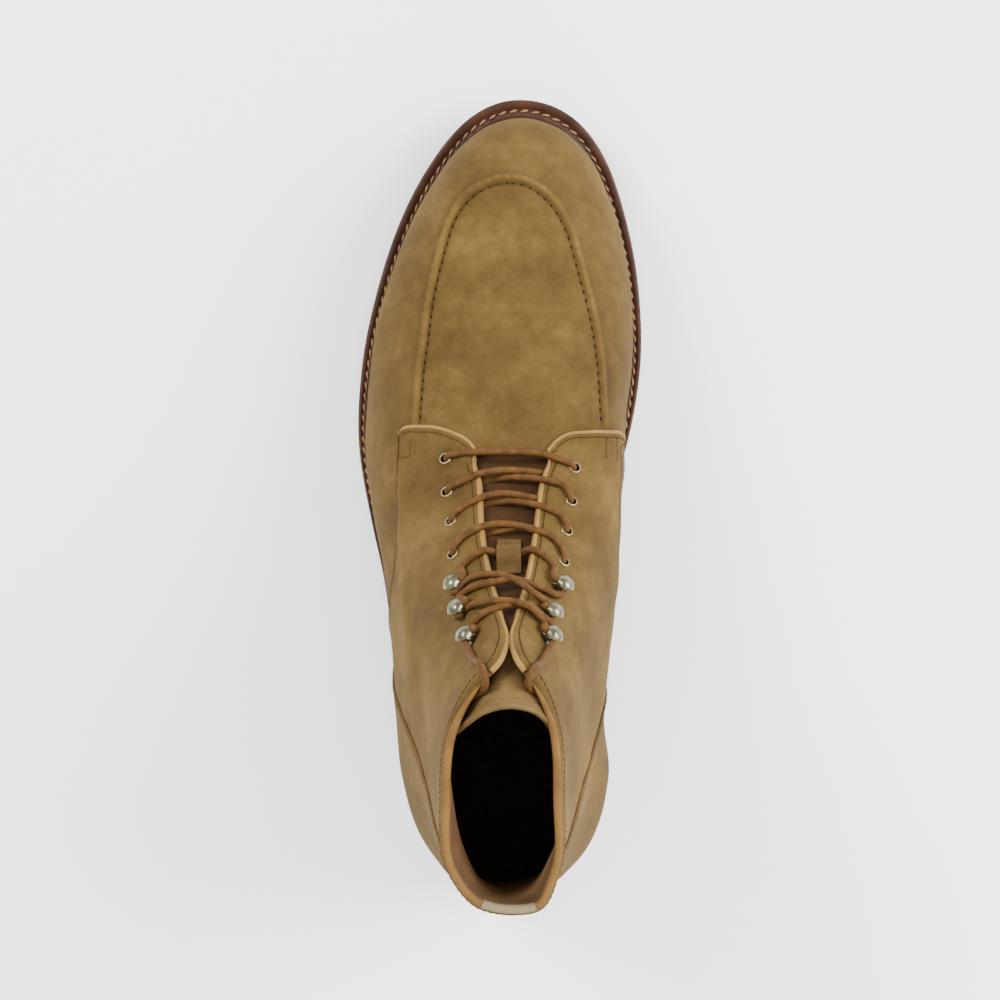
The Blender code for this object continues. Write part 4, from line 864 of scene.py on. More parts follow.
def add_noise(tree, vector, scale, detail=3.0, rough=0.6):
    """Noise of one size on a vector."""
    values = {"Scale": scale, "Detail": detail, "Roughness": rough, "Vector": vector}
    return add_node(tree, "TexNoise", values)


def add_range(tree, value, low, high, to_low=0.0, to_high=1.0):
    """A value between low and high, stretched to another range."""
    ends = {"From Min": low, "From Max": high, "To Min": to_low, "To Max": to_high}
    return add_node(tree, "MapRange", {"Value": value, **ends})


def add_blend(tree, first, share, second, other):
    """Two values added up in these shares."""
    first = add_node(tree, "Math", {0: first, 1: share}, operation="MULTIPLY")
    second = add_node(tree, "Math", {0: second, 1: other}, operation="MULTIPLY")
    return add_node(tree, "Math", {0: first, 1: second}, operation="ADD")


def nap_group():
    """Suede: cloudy patches, and a nap whose height and tone change from hair to hair."""
    group, vector, end = new_group("suede_nap", ("Patches", "Nap"))
    mixed = add_blend(group, add_noise(group, vector, 34.0, 2.0, 0.5), 0.7,
                      add_noise(group, vector, 190.0, 2.0, 0.5), 0.3)
    hair, tuft = add_noise(group, vector, 1500.0, 3.0, 0.7), add_noise(group, vector, 520.0, 2.0, 0.5)
    nap = add_blend(group, hair, 0.6, tuft, 0.4)
    feed(group, end, {"Patches": add_range(group, mixed, 0.3, 0.7), "Nap": nap})
    return group


def pore_group():
    """Smooth leather: pores as small cells, and slow changes of tone."""
    group, vector, end = new_group("leather_pores", ("Pores", "Tone"))
    cells = add_node(group, "TexVoronoi", {"Scale": 950.0, "Vector": vector}, "Distance")
    crease = add_noise(group, vector, 260.0, 4.0, 0.65)
    tone = add_noise(group, vector, 70.0, 4.0, 0.6)
    pores = add_blend(group, cells, 0.6, crease, 0.6)
    feed(group, end, {"Pores": pores, "Tone": add_range(group, tone, 0.35, 0.65)})
    return group


NAP = nap_group()
PORES = pore_group()
print("node groups:", [group.name for group in bpy.data.node_groups])

# %% [markdown]
# Each finish is a material of its own: it places one of the groups, turns its masks into colours with a
# ramp, and its heights into a bump.

# %% Helpers for the finishes
def new_material(name, group=None):
    """An empty finish: its tree, its shader, its coordinates and the shared effect placed in it."""
    made = bpy.data.materials.new(name)
    made.use_nodes = True
    tree = made.node_tree
    coordinates = tree.nodes.new("ShaderNodeTexCoord")
    effect = None
    if group:
        effect = tree.nodes.new("ShaderNodeGroup")
        effect.node_tree = group
        feed(tree, effect, {"Vector": coordinates.outputs["Object"]})
    return made, tree, tree.nodes["Principled BSDF"], coordinates.outputs, effect


def add_ramp(tree, value, stops):
    """Colours picked by a value, from (position, colour) stops."""
    node = tree.nodes.new("ShaderNodeValToRGB")
    elements = node.color_ramp.elements
    while len(elements) < len(stops):
        elements.new(0.5)
    for element, (position, colour) in zip(elements, stops):
        element.position = position
        element.color = colour
    feed(tree, node, {"Fac": value})
    return node.outputs["Color"]


def add_mix(tree, factor, first, second, blend="MIX"):
    """Two colours mixed, or laid over each other in another way."""
    return add_node(tree, "Mix", {0: factor, 6: first, 7: second}, 2, data_type="RGBA", blend_type=blend)


def add_bump(tree, height, strength, distance):
    """Fine relief from a height, for a shader's Normal."""
    return add_node(tree, "Bump", {"Strength": strength, "Distance": distance, "Height": height})


def node_of(tree, kind):
    """The finish's first node of a kind."""
    return next(node for node in tree.nodes if node.type == kind)


# %% [markdown]
# Suede is leather with its fibres raised. It has no gloss, a soft sheen at grazing angles, and a colour
# that goes lighter or darker in cloudy patches where the nap has been stroked one way or the other.

# %% Suede
def suede(name, dark, middle, light):
    """A suede of three tones, painted lighter where the piece says so, by rubbing and painted highlight,
    and darker as painted shade.
    """
    made, tree, shader, _, nap = new_material(name, NAP)
    cloud = add_ramp(tree, nap.outputs["Patches"], [(0.0, dark), (0.5, middle), (1.0, light)])
    fibre = add_ramp(tree, nap.outputs["Nap"], [(0.3, (0.72, 0.70, 0.68, 1)), (0.7, (1.12, 1.12, 1.12, 1))])
    # The piece's attribute paints the nap lighter on crests, by rubbing and painted highlight, and darker
    # in troughs and hollows as painted shade.
    rub_and_shade = add_node(tree, "Attribute", {}, "Fac", attribute_name="rub_and_shade")
    rubbed_and_shaded = add_mix(tree, 1.0, cloud, add_range(tree, rub_and_shade, -1.0, 1.0, 0.55, 1.45), "MULTIPLY")
    feed(tree, shader, {
        "Base Color": add_mix(tree, 0.8, rubbed_and_shaded, fibre, "MULTIPLY"),
        "Roughness": 0.95,
        "Specular IOR Level": 0.15,
        "Sheen Weight": 0.35,
        "Sheen Roughness": 0.5,
        "Sheen Tint": light,
        "Normal": add_bump(tree, nap.outputs["Nap"], 0.55, 0.0006),
    })
    return made


SUEDE = suede("sand_suede", tint(60, 44, 18), tint(76, 58, 25), tint(94, 74, 37))
# The cut edge's darker suede is partly the raw edge's own colour, partly painted shade along the panels'
# edges.
CUT_EDGE_AND_SHADE = suede("sand_suede_cut_edge_and_shade", tint(44, 30, 10), tint(54, 38, 15), tint(66, 48, 20))
KEEPER_SUEDE = suede("keeper_suede", tint(56, 41, 18), tint(67, 50, 24), tint(80, 62, 33))

# %% [markdown]
# The tongue is painted dark down in the throat, as painted shade under the facings and the laces, and
# stays light at the top, where it leans out. The change of colour follows the tongue's own height, read
# from its Object coordinates.

# %% Suede of the tongue
def add_height_blend(tree, low, high, lower, upper):
    """Blends two colours between two heights, in millimetres."""
    height = add_node(tree, "SeparateXYZ", {"Vector": node_of(tree, "TEX_COORD").outputs["Object"]}, "Z")
    return add_mix(tree, add_range(tree, height, low * MM, high * MM), lower, upper)


def tongue_suede_painted_shade():
    """Painted shade, dark in front and a little lighter in the throat, and the suede's light tone at the
    head.
    """
    made = suede("tongue_suede_painted_shade", tint(39, 24, 9), tint(48, 30, 12), tint(59, 38, 17))
    tree = made.node_tree
    base = node_of(tree, "BSDF_PRINCIPLED").inputs["Base Color"]
    patches = node_of(tree, "GROUP").outputs["Patches"]
    throat = base.links[0].from_socket
    head = add_ramp(tree, patches, [(0.0, tint(76, 58, 30)), (1.0, tint(104, 82, 48))])
    front = add_ramp(tree, patches, [(0.0, tint(47, 31, 15)), (1.0, tint(63, 43, 22))])
    # front and throat are painted shade down in the throat; head is the light suede at the top.
    throat = add_height_blend(tree, 76.0, 84.0, front, throat)
    tree.links.new(add_height_blend(tree, 146.0, 156.0, throat, head), base)
    return made


TONGUE_SUEDE = tongue_suede_painted_shade()

# %% [markdown]
# Smooth leather serves for the light tan binding, the lining and the dark welt. One recipe, three sets
# of colours: pores in the bump, a slow drift of tone, and some gloss.

# %% Smooth leather
def smooth_leather(name, dark, light, roughness, bump=0.25, gloss=0.5):
    """A leather, thread or rubber of two tones, with pores."""
    made, tree, shader, _, effect = new_material(name, PORES)
    pores = effect.outputs["Pores"]
    feed(tree, shader, {
        "Base Color": add_ramp(tree, effect.outputs["Tone"], [(0.0, dark), (1.0, light)]),
        "Roughness": add_range(tree, pores, 0.2, 0.8, roughness - 0.08, roughness + 0.1),
        "Specular IOR Level": gloss,
        "Normal": add_bump(tree, pores, bump, 0.0003),
    })
    return made


def lining_leather():
    """Lining, darker at the collar, and painted lighter lower down as painted light deep in the shaft."""
    made = smooth_leather("tan_lining_leather", tint(62, 40, 14), tint(80, 53, 20), 0.7)
    tree = made.node_tree
    base = node_of(tree, "BSDF_PRINCIPLED").inputs["Base Color"]
    tone = node_of(tree, "GROUP").outputs["Tone"]
    painted_light_low = add_ramp(tree, tone, [(0.0, tint(150, 112, 62)), (1.0, tint(176, 134, 78))])
    # Lower down the lining is painted lighter: painted light where little lamp light reaches inside the
    # shaft.
    tree.links.new(add_height_blend(tree, 70.0, 140.0, painted_light_low, base.links[0].from_socket), base)
    return made


BINDING_LEATHER = smooth_leather("tan_binding_leather", tint(80, 53, 14), tint(101, 69, 22), 0.75,
                                 gloss=0.3)
FACING_LEATHER = smooth_leather("light_facing_leather", tint(104, 75, 22), tint(124, 92, 31), 0.75)
LINING = lining_leather()
WELT_LEATHER = smooth_leather("brown_welt_leather", tint(38, 20, 12), tint(62, 35, 21), 0.5, gloss=0.2)
EDGE_LEATHER = smooth_leather("brown_sole_edge", tint(32, 18, 12), tint(52, 29, 19), 0.55, gloss=0.2)
RUBBER = smooth_leather("dark_brown_rubber", tint(44, 33, 24), tint(60, 46, 34), 0.62, 0.35)
CREAM_THREAD = smooth_leather("cream_thread", tint(106, 77, 50), tint(134, 101, 68), 0.8, gloss=0.2)
SEAM_THREAD = smooth_leather("tan_thread", tint(50, 33, 12), tint(70, 48, 20), 0.95, gloss=0.1)
# The needle holes' dark dots are painted shade inside each hole.
NEEDLE_HOLE_SHADE = smooth_leather("needle_hole_painted_shade", tint(22, 14, 7), tint(34, 22, 12), 0.95, gloss=0.1)
TAPE = smooth_leather("heel_tape_cotton", tint(92, 81, 56), tint(114, 101, 73), 0.9)

# %% [markdown]
# The fittings are worn nickel: a metal whose gloss is broken by fine rubbing and a warm film in patches.

# %% Metal and cord
def worn_metal(name, dull, bright, roughness):
    """A metal between dull and bright, in fine patches."""
    made, tree, shader, coordinates, _ = new_material(name)
    film = add_noise(tree, coordinates["Object"], 420.0, 4.0, 0.65)
    feed(tree, shader, {
        "Base Color": add_ramp(tree, film, [(0.35, dull), (0.65, bright)]),
        "Roughness": add_range(tree, film, 0.3, 0.7, roughness + 0.14, roughness - 0.06),
        "Metallic": 1.0,
        "Normal": add_bump(tree, add_noise(tree, coordinates["Object"], 1800.0, 2.0), 0.12, 0.0001),
    })
    return made


NICKEL = worn_metal("aged_nickel", tint(62, 62, 46), tint(122, 120, 97), 0.27)
EYELET_METAL = worn_metal("eyelet_nickel", tint(112, 98, 72), tint(156, 140, 110), 0.38)


def waxed_cord(name, dark, light):
    """Round braid: two sets of slanting plaits on the tube's own UV map, in metres along and round it."""
    made, tree, shader, coordinates, _ = new_material(name)
    heights = []
    for slant in (1.0, -1.0):
        turned = {"Rotation": (0, 0, math.radians(38) * slant), "Vector": coordinates["UV"]}
        values = {"Scale": 420.0, "Distortion": 0.6, "Vector": add_node(tree, "Mapping", turned)}
        heights.append(add_node(tree, "TexWave", values, "Fac"))
    plait = add_node(tree, "Math", {0: heights[0], 1: heights[1]}, operation="MAXIMUM")
    tone = add_noise(tree, coordinates["Object"], 300.0, 3.0)
    colour = add_ramp(tree, tone, [(0.3, dark), (0.7, light)])
    shade = add_ramp(tree, plait, [(0.1, (0.72, 0.70, 0.68, 1)), (0.8, (1.05, 1.05, 1.05, 1))])
    feed(tree, shader, {
        "Base Color": add_mix(tree, 0.7, colour, shade, "MULTIPLY"),
        "Roughness": 0.7,
        "Specular IOR Level": 0.1,
        "Normal": add_bump(tree, plait, 0.3, 0.0002),
    })
    return made


CORD = waxed_cord("brown_waxed_cord", tint(58, 37, 15), tint(86, 57, 26))
print("materials:", len(bpy.data.materials))

# %% [markdown]
# The vamp is the leather over the toes and, in the real boot, runs on under the quarters. It is one
# sheet laid on the last from the welt to the ridge. Near the toe its rows are packed close along the
# apron seam, where the sheet is pinched up into the raised roll that gives a moc toe its name.

# %% Vamp sheet
SEAM_PITCH = 3.5            # from one stitch of the apron seam to the next
LEATHER_SHORT = 0.7         # the leather ends this far inside its binding
VAMP_FINE = 0.8
VAMP_COARSE = 2.4
FRONT_ROWS = 10.3
SEAM_END_Y = 175.5          # the roll dies out here, under the quarters' front edges
SEAM_FADE = 4.0


def column_rows():
    """Row numbers of the vamp's columns: close together in front, wider behind."""
    rows = [0.0]
    while rows[-1] < HEEL_AT:
        at = rows[-1]
        front = at < FRONT_ROWS
        share = 0.6 if front else 0.5
        apart = np.linalg.norm(look_up(SKIN, at + 0.05, share) - look_up(SKIN, at, share))
        rows.append(at + (VAMP_FINE if front else VAMP_COARSE) * 0.05 / max(apart, 0.01))
    half = np.array(rows) * HEEL_AT / rows[-1]
    return np.concatenate([half, ROWS_IN_LOOP - half[-2::-1]])


# The apron seam seen from above: up the outer side, over the toes and down the inner side.
APRON_SEAM = (
    (-31.6, 172.0), (-31.3, 180.0), (-30.6, 190.0), (-29.7, 200.0), (-28.5, 209.0), (-27.5, 217.5),
    (-26.6, 224.5), (-25.0, 232.0), (-23.4, 238.5), (-21.5, 246.0), (-19.2, 253.0), (-16.2, 258.8),
    (-12.2, 263.3), (-7.0, 266.6), (1.1, 268.4), (9.0, 267.0), (14.8, 263.0), (19.6, 257.4),
    (23.2, 250.5), (26.2, 240.5), (28.6, 231.5), (30.4, 225.0), (31.9, 218.5), (33.5, 210.0),
    (34.7, 200.0), (35.5, 187.0), (36.2, 175.0), (36.5, 170.0),
)


def seam_table():
    """Row, counted down through the toe to minus numbers on the inner side, and length up the section."""
    rows, lengths = [], []
    for x, y in smooth_path(APRON_SEAM, 2.0):
        at, share = locate(x, y)
        rows.append(at if at < HEEL_AT else at - ROWS_IN_LOOP)
        lengths.append(share * key_lengths(at)[2])
    order = np.argsort(rows)
    return np.array(rows)[order], np.array(lengths)[order]


SEAM_ROWS, SEAM_LENGTHS = seam_table()


def seam_length(at):
    """Length up each section, from the welt, to the apron seam."""
    at = np.asarray(at, float)
    return np.interp(np.where(at < HEEL_AT, at, at - ROWS_IN_LOOP), SEAM_ROWS, SEAM_LENGTHS)


def seam_travel(rows):
    """Distance travelled along the apron seam at each column."""
    return run_lengths(look_up(SKIN, rows, seam_length(rows) / key_lengths(rows)[:, 2]))


print("apron seam", round(float(seam_travel(column_rows())[-1])), "mm round the last")

# %% [markdown]
# The roll of the apron seam is a rounded ridge just outside the stitching, pinched at every stitch and
# never quite even, as it is where two edges are sewn up by hand. Behind it the thread lies in a trough.
# The same curves paint the nap lighter on the crest, by rubbing and painted highlight, and darker in the
# trough as painted shade.

# %% Relief of the apron seam
# Distances from the seam, minus outside it, at which the vamp has a row of points.
SEAM_SPACING = np.array([-9, -7, -5.6, -4.6, -3.8, -3.1, -2.5, -2.0, -1.5, -1.1, -0.75, -0.4,
                         0, 0.4, 0.75, 1.1, 1.5, 1.9, 2.3, 2.8, 3.4, 4.2, 5.2, 6.5])
TOE_REACH = 2.6             # rows from the toe over which the roll stands higher


def toe_share(at):
    """1 at the toe, fading away along both sides of the seam."""
    return math.exp(-(min(at, ROWS_IN_LOOP - at) / TOE_REACH) ** 2)


def hill(across, middle, half_wide):
    """A soft hill, 1 high in its middle."""
    return np.exp(-((across - middle) / half_wide) ** 2)


def seam_relief(across, gone, toe):
    """Lift of the leather, and how far its nap is painted lighter (rubbing and painted highlight on the
    crest) or darker (painted shade in the trough), at distances across the seam, so far along it.
    """
    pinch = 0.5 + 0.5 * math.cos(2 * math.pi * gone / SEAM_PITCH)
    uneven = 1 + 0.32 * noise.noise((gone / 2.4, 0.0, 3.7))
    roll = uneven * (1.0 + 0.9 * toe) * (0.74 + 0.26 * pinch) * hill(across, -1.7, 1.15 + 0.25 * toe)
    trough = (0.55 + 0.45 * toe) * hill(across, 0.0, 0.95)
    stitch_hole = (0.1 + 0.5 * pinch) * hill(across, 0.0, 0.6)
    outer_hollow = (0.12 + 0.15 * toe) * hill(across, -4.2, 1.1)
    # light is the crest painted lighter, rubbing and painted highlight; dark is painted shade in the trough
    # and in the hollow outside the roll.
    light = 0.85 * uneven * hill(across, -1.6, 1.15) * (0.6 + 0.4 * pinch)
    dark = 0.5 * hill(across, 0.1, 0.7) + 0.15 * hill(across, -4.3, 1.2)
    return roll - trough - stitch_hole - outer_hollow, light - dark


# %% [markdown]
# The vamp's grid has one column for each row number round the last. Up each column its points are spread
# evenly below and above the seam, and set close together along it.

# %% Grid of the vamp
POINTS_BELOW, POINTS_ABOVE = 16, 22


def vamp_sheet():
    """Places of the vamp's grid, and how far its nap is painted lighter, by rubbing and painted highlight,
    or darker as painted shade, at each.
    """
    rows = column_rows()
    shares, lifts, rubs_and_shades = [], [], []
    for at, gone in zip(rows, seam_travel(rows)):
        full = key_lengths(at)[2]
        line = float(seam_length(at))
        end = full - LEATHER_SHORT * (1 - front_share(at))
        seam = np.clip((look_up(SKIN, at, line / full)[1] - SEAM_END_Y) / SEAM_FADE, 0, 1)
        room = min(1.0, (end - line) / (2 * SEAM_SPACING[-1]))
        close = np.where(SEAM_SPACING > 0, SEAM_SPACING * room, SEAM_SPACING)
        below = np.linspace(0, line + close[0], POINTS_BELOW, endpoint=False)
        above = np.linspace(line + close[-1], end, POINTS_ABOVE + 1)[1:]
        distances = np.concatenate([below, line + close, above])
        lift, rub_and_shade = seam_relief(distances - line, gone, toe_share(at))
        shares.append(distances / full)
        lifts.append(seam * lift)
        rubs_and_shades.append(seam * rub_and_shade)
    shares, lifts, rubs_and_shades = np.array(shares), np.array(lifts), np.array(rubs_and_shades)
    ats = rows[:, None] + np.zeros_like(shares)
    base = look_up(SKIN, ats, shares)
    places = base + directions(ats, shares) * (lifts + fold_lift(base))[..., None]
    places[-1] = places[0]
    # the two sides share the ridge over the toes
    ridge = np.minimum(rows, ROWS_IN_LOOP - rows) <= THROAT_ROW
    places[ridge, -1] = (places[ridge, -1] + places[::-1][ridge, -1]) / 2
    return places, rubs_and_shades + fold_rub_and_shade(base)


# %% [markdown]
# Each eyelet goes through a real hole. The long edges near its middle are cut up first, the points inside
# the circle go, and the points left on the rim are drawn in or out to the circle.

# %% Punching holes
RIM_REACH = 2.4             # cut edges this far from a hole's own edge belong to it
LONG_EDGE = 0.9             # edges over this length round a hole are cut up first
OTHER_LAYER = 5.0           # points further than this off the leather's face aren't near the hole


def from_hole(vertex, centre, axis):
    """Offset of a vertex from a hole's axis, square to it, or none where it is on another layer."""
    offset = vertex.co - centre
    rise = offset.dot(axis)
    return offset - axis * rise if abs(rise) < OTHER_LAYER * MM else None


def punch_holes(shape, radius):
    """Opens the leather under each eyelet: faces near its middle go, and the rim is drawn to a circle."""
    for spot in [*EYELETS["lateral"], *EYELETS["medial"]]:
        centre, axis = place(spot.point), Vector(spot.normal)

        def away(vertex):
            """Distance of a vertex from the hole's axis."""
            offset = from_hole(vertex, centre, axis)
            return 1.0 if offset is None else offset.length

        coarse = [edge for edge in shape.edges if edge.calc_length() > LONG_EDGE * MM
                  and min(away(vertex) for vertex in edge.verts) < (radius + 1.5) * MM]
        bmesh.ops.subdivide_edges(shape, edges=coarse, cuts=4, use_grid_fill=True)
        near = [v for v in shape.verts if away(v) < radius * MM]
        bmesh.ops.delete(shape, geom=near, context="VERTS")
        for edge in shape.edges:
            for vertex in edge.verts if len(edge.link_faces) == 1 else ():
                reach = away(vertex)
                if 0 < reach < (radius + RIM_REACH) * MM:
                    vertex.co += from_hole(vertex, centre, axis) * (radius * MM / reach - 1)


def leather_wall(made, thickness, offset=-1.0, inner=1):
    """Wall of the leather, its inner face and its cut edge taking the lining's finish."""
    wall = made.modifiers.new("wall", "SOLIDIFY")
    wall.thickness = thickness * MM
    wall.offset = offset
    wall.material_offset = inner
    wall.use_quality_normals = True
    return wall


# %% [markdown]
# The vamp is skived thin along the front edge of the throat, and a wall of full thickness is given to the
# rest. On the outer side of the heel the lining stands off the wall a little, where the foot's pull has
# loosened it. A vertex group says how thick the wall is at each point.

# %% Vamp
PADDING_THICK = 4.0
PADDING_MIDDLE = (-25.0, -115.0, 118.0)
PADDING_REACH = (22.0, 28.0, 30.0)
PADDING_FADE = 14.0
COLLAR_LOW = 149.0          # height of the collar's edge over the heel
SKIVE_FROM, SKIVE_REACH = 2.0, 8.0      # from the throat's front edge
THROAT_SPOTS = [look_up(SKIN, at, 1.0) for at in (9.0, 9.5, 10.0, 10.3, 33.7, 34.0, 34.5, 35.0)]
VAMP_HOLE, QUARTER_HOLE = 2.15, 2.1


def vamp_thickness(point):
    """Share of the full wall at a point of the vamp."""
    away = min((point - place(spot)).length for spot in THROAT_SPOTS) / MM
    skived = min(1.0, max(0.1, (away - SKIVE_FROM) / SKIVE_REACH)) * WALL
    axes = zip(point / MM, PADDING_MIDDLE, PADDING_REACH)
    gone = sum(((here - middle) / reach) ** 2 for here, middle, reach in axes)
    padding = math.exp(-gone) * min(1.0, max(0.0, (COLLAR_LOW - point.z / MM) / PADDING_FADE))
    return (skived + PADDING_THICK * padding) / (WALL + PADDING_THICK)


# The vamp's nap is painted lighter on the roll's crest and on ridges, by rubbing and painted highlight, and
# darker as painted shade in troughs and hollows.
vamp_places, vamp_rubs_and_shades = vamp_sheet()
vamp_shape = laid_grid(vamp_places, rubs_and_shades=vamp_rubs_and_shades)
merge_doubles(vamp_shape)
faces_out(vamp_shape)
punch_holes(vamp_shape, VAMP_HOLE)
vamp = finish_piece("vamp", vamp_shape, [SUEDE, LINING], recalculate=False)
thickness = vamp.vertex_groups.new(name="full_thickness")
for vertex in vamp.data.vertices:
    thickness.add([vertex.index], vamp_thickness(vertex.co), "REPLACE")
vamp_wall = leather_wall(vamp, WALL + PADDING_THICK)
vamp_wall.vertex_group = thickness.name
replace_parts(vamp, "upper")

# %% [markdown]
# The quarters are the two side panels that carry the eyelets. Each is a four-sided patch: its front,
# top, back and bottom edges are drawn first, as the cutter would draw them, and the grid is filled
# between them. The outermost rows drop to the leather below, which makes the panel's cut edge.

# %% Quarter patches
EDGE_ROLL = (
    # distance in from the edge, lift over the leather below
    (0.0, -0.5), (0.05, 0.1), (0.25, 0.6), (0.6, 0.92), (1.1, 1.0),
)


def edge_samples_between(length, step, roll_start=True, roll_end=True):
    """Shares of the way across a panel and the height of its skin there, rolled down at its edges."""
    count = max(4, int(length / step))
    middle = np.linspace(1.0 if roll_start else 0.0, length - (1.0 if roll_end else 0.0), count)
    places_in = [d for d, _ in EDGE_ROLL[:-1]] if roll_start else []
    lifts = [lift for _, lift in EDGE_ROLL[:-1]] if roll_start else []
    places_in, lifts = [*places_in, *middle], [*lifts, *[1.0] * count]
    if roll_end:
        places_in += [length - d for d, _ in reversed(EDGE_ROLL[:-1])]
        lifts += [lift for _, lift in reversed(EDGE_ROLL[:-1])]
    return np.array(places_in) / length, np.array(lifts)


def resample(line, shares):
    """Points of an (at, share) line at shares of its real length."""
    line = np.asarray(line, float)
    lengths = run_lengths(look_up(SKIN, line[:, 0], line[:, 1]))
    return read_along(lengths, line, np.asarray(shares) * lengths[-1]), lengths[-1]


def drawn_line(points_seen):
    """A smooth line on the leather through points seen from above."""
    return np.array([locate(x, y) for x, y in smooth_path(points_seen, 1.0)])


def coons(front, top, back, bottom, a, b):
    """Fills between four edges; a and b are the shares of the way along and up."""
    a, b = a[:, None, None], b[None, :, None]
    sides = (1 - b) * bottom[:, None] + b * top[:, None] + (1 - a) * front[None] + a * back[None]
    corners = ((1 - a) * (1 - b) * bottom[0] + a * (1 - b) * bottom[-1]
               + (1 - a) * b * top[0] + a * b * top[-1])
    return sides - corners


def panel_share(at):
    """Share of the section where it crosses the panels' lower edge."""
    column = look_up(SKIN, np.full(SHARE_PARTS + 1, at), np.linspace(0, 1, SHARE_PARTS + 1))
    heights = np.array([smooth_value(PANEL_EDGE, min(max(p[1], 0.0), 185.0)) for p in column])
    above = np.nonzero(column[:, 2] > heights)[0]
    return above[0] / SHARE_PARTS if len(above) else 1.0


# %% [markdown]
# Each quarter's front edge is drawn as it is seen from above, from the side of the foot to the corner of
# the throat. Its top follows the facing and the collar, and its lower edge the line of the panels, down
# to the welt where the counter covers it.

# %% Quarters
QUARTER_FRONT = {
    "lateral": ((-38.6, 174.6), (-37.4, 176.1), (-29.5, 177.2), (-24.8, 176.8), (-19.0, 175.0),
                (-12.8, 171.6), (-10.2, 168.0)),
    "medial": ((44.4, 172.4), (43.3, 174.4), (36.5, 175.2), (30.2, 175.0), (22.2, 173.8),
               (18.4, 171.2), (15.8, 167.6)),
}
QUARTER_TALL = 75.0
COUNTER_FRONT_Y = 95.0      # the counter's front edge; the quarter runs down to the welt in front of it


def facing_top(rows):
    """Share of each section where the panels' leather ends, a little inside the binding."""
    full = key_lengths(rows)[:, 2]
    return 1 - LEATHER_SHORT / full


def panel_rows(first):
    """Rows from the panel's front back to the heel, counted from the toe."""
    return np.concatenate([[first], np.arange(math.ceil(first * 5 + 0.5) / 5, HEEL_AT + 0.01, 0.2)])


def quarter(side):
    """One side panel, filled between its four edges and punched for the eyelets."""
    front = drawn_line(QUARTER_FRONT[side])
    low_rows, top_rows = (real_row(side, panel_rows(real_row(side, front[end][0]))) for end in (0, -1))
    top = np.stack([top_rows, facing_top(top_rows)], axis=1)
    top[0] = front[-1]
    lows = [panel_share(row) if look_up(SKIN, row, 0.0)[1] > COUNTER_FRONT_Y else 0.01 for row in low_rows]
    lows[0] = front[0][1]
    bottom = np.stack([low_rows, lows], axis=1)
    heel_line = np.linspace(bottom[-1][1], top[-1][1], 30)
    back = np.stack([np.full(30, real_row(side, HEEL_AT)), heel_line], axis=1)
    a, lift_a = edge_samples_between(resample(top, [0, 1])[1], 1.5, roll_end=False)
    b, lift_b = edge_samples_between(QUARTER_TALL, 1.3)
    lines = [resample(line, shares)[0] for line, shares in ((front, b), (top, a), (back, b), (bottom, a))]
    patch = coons(*lines, a, b)
    base = look_up(SKIN, patch[..., 0], patch[..., 1])
    lift = np.minimum(lift_a[:, None], lift_b[None, :]) * QUARTER_STEP
    places = base + directions(patch[..., 0], patch[..., 1]) * (lift + fold_lift(base))[..., None]
    # The outer rows take the darker cut-edge suede, the raw edge and painted shade; the folds paint the nap
    # lighter on their ridges and darker in their hollows, by rubbing, painted highlight and painted shade.
    shape = laid_grid(places, second=lambda column, row: column < 2 or row < 2, rubs_and_shades=fold_rub_and_shade(base))
    faces_out(shape)
    punch_holes(shape, QUARTER_HOLE)
    finish_piece(f"quarter_{side}", shape, [SUEDE, CUT_EDGE_AND_SHADE], merge=0, recalculate=False)


for side in BOTH_SIDES:
    quarter(side)


# %% [markdown]
# The heel counter is a third layer, wrapped round the back of the heel from one side to the other.

# %% Heel counter
COUNTER_TALL = 70.0
COUNTER_ROWS = 6.2          # rows on each side of the heel among which its front edges lie


def counter_rows(front_y):
    """Rows round the heel whose foot lies behind front_y."""
    rows = np.arange(HEEL_AT - COUNTER_ROWS, HEEL_AT + COUNTER_ROWS + 0.01, 0.1)
    return np.array([at for at in rows if look_up(SKIN, at, 0.0)[1] < front_y])


def counter_sheet():
    """The counter's grid, from the welt up to the edge of the panels."""
    rows = counter_rows(COUNTER_FRONT_Y)
    length = resample(np.stack([rows, np.full(len(rows), 0.3)], axis=1), [0, 1])[1]
    a, lift_a = edge_samples_between(length, 1.6)
    b, lift_b = edge_samples_between(COUNTER_TALL, 1.5, roll_start=False)
    ats = np.interp(a, np.linspace(0, 1, len(rows)), rows)
    tops = np.array([max(panel_share(at), 0.02) for at in ats])
    shares = tops[:, None] * b[None, :] + 0.004
    ats = ats[:, None] + np.zeros_like(shares)
    base = look_up(SKIN, ats, shares)
    lift = np.minimum(lift_a[:, None], lift_b[None, :]) * COUNTER_STEP + QUARTER_STEP
    places = base + directions(ats, shares) * (lift + fold_lift(base))[..., None]
    last, top = len(a) - 4, len(b) - 4
    # Its outer rows take the darker cut-edge suede: the raw edge and painted shade.
    shape = laid_grid(places, second=lambda column, row: column < 2 or column > last or row > top)
    sheet_piece("counter", shape, [SUEDE, CUT_EDGE_AND_SHADE])


counter_sheet()

# %% [markdown]
# A folded strip of light leather binds the facings, and a fuller, darker roll of it the collar. Both are
# flattened tubes swept along the top line over the leather's edge. The collar's roll is pared to a point
# at each front end; the facing's strip is cut square.

# %% Binding of the facings and the collar
BINDING_SIDES = 18
FACING_ROWS = (10.1, 16.42)
COLLAR_ROW = 16.84
COLLAR_TAPER = 1.2


def top_edge(at):
    """Top of the leather at a row: the point, the way up and the way out."""
    top = below_edge(at, 0.0)
    return top, unit(top - below_edge(at, 1.5)), directions(at, 1.0)


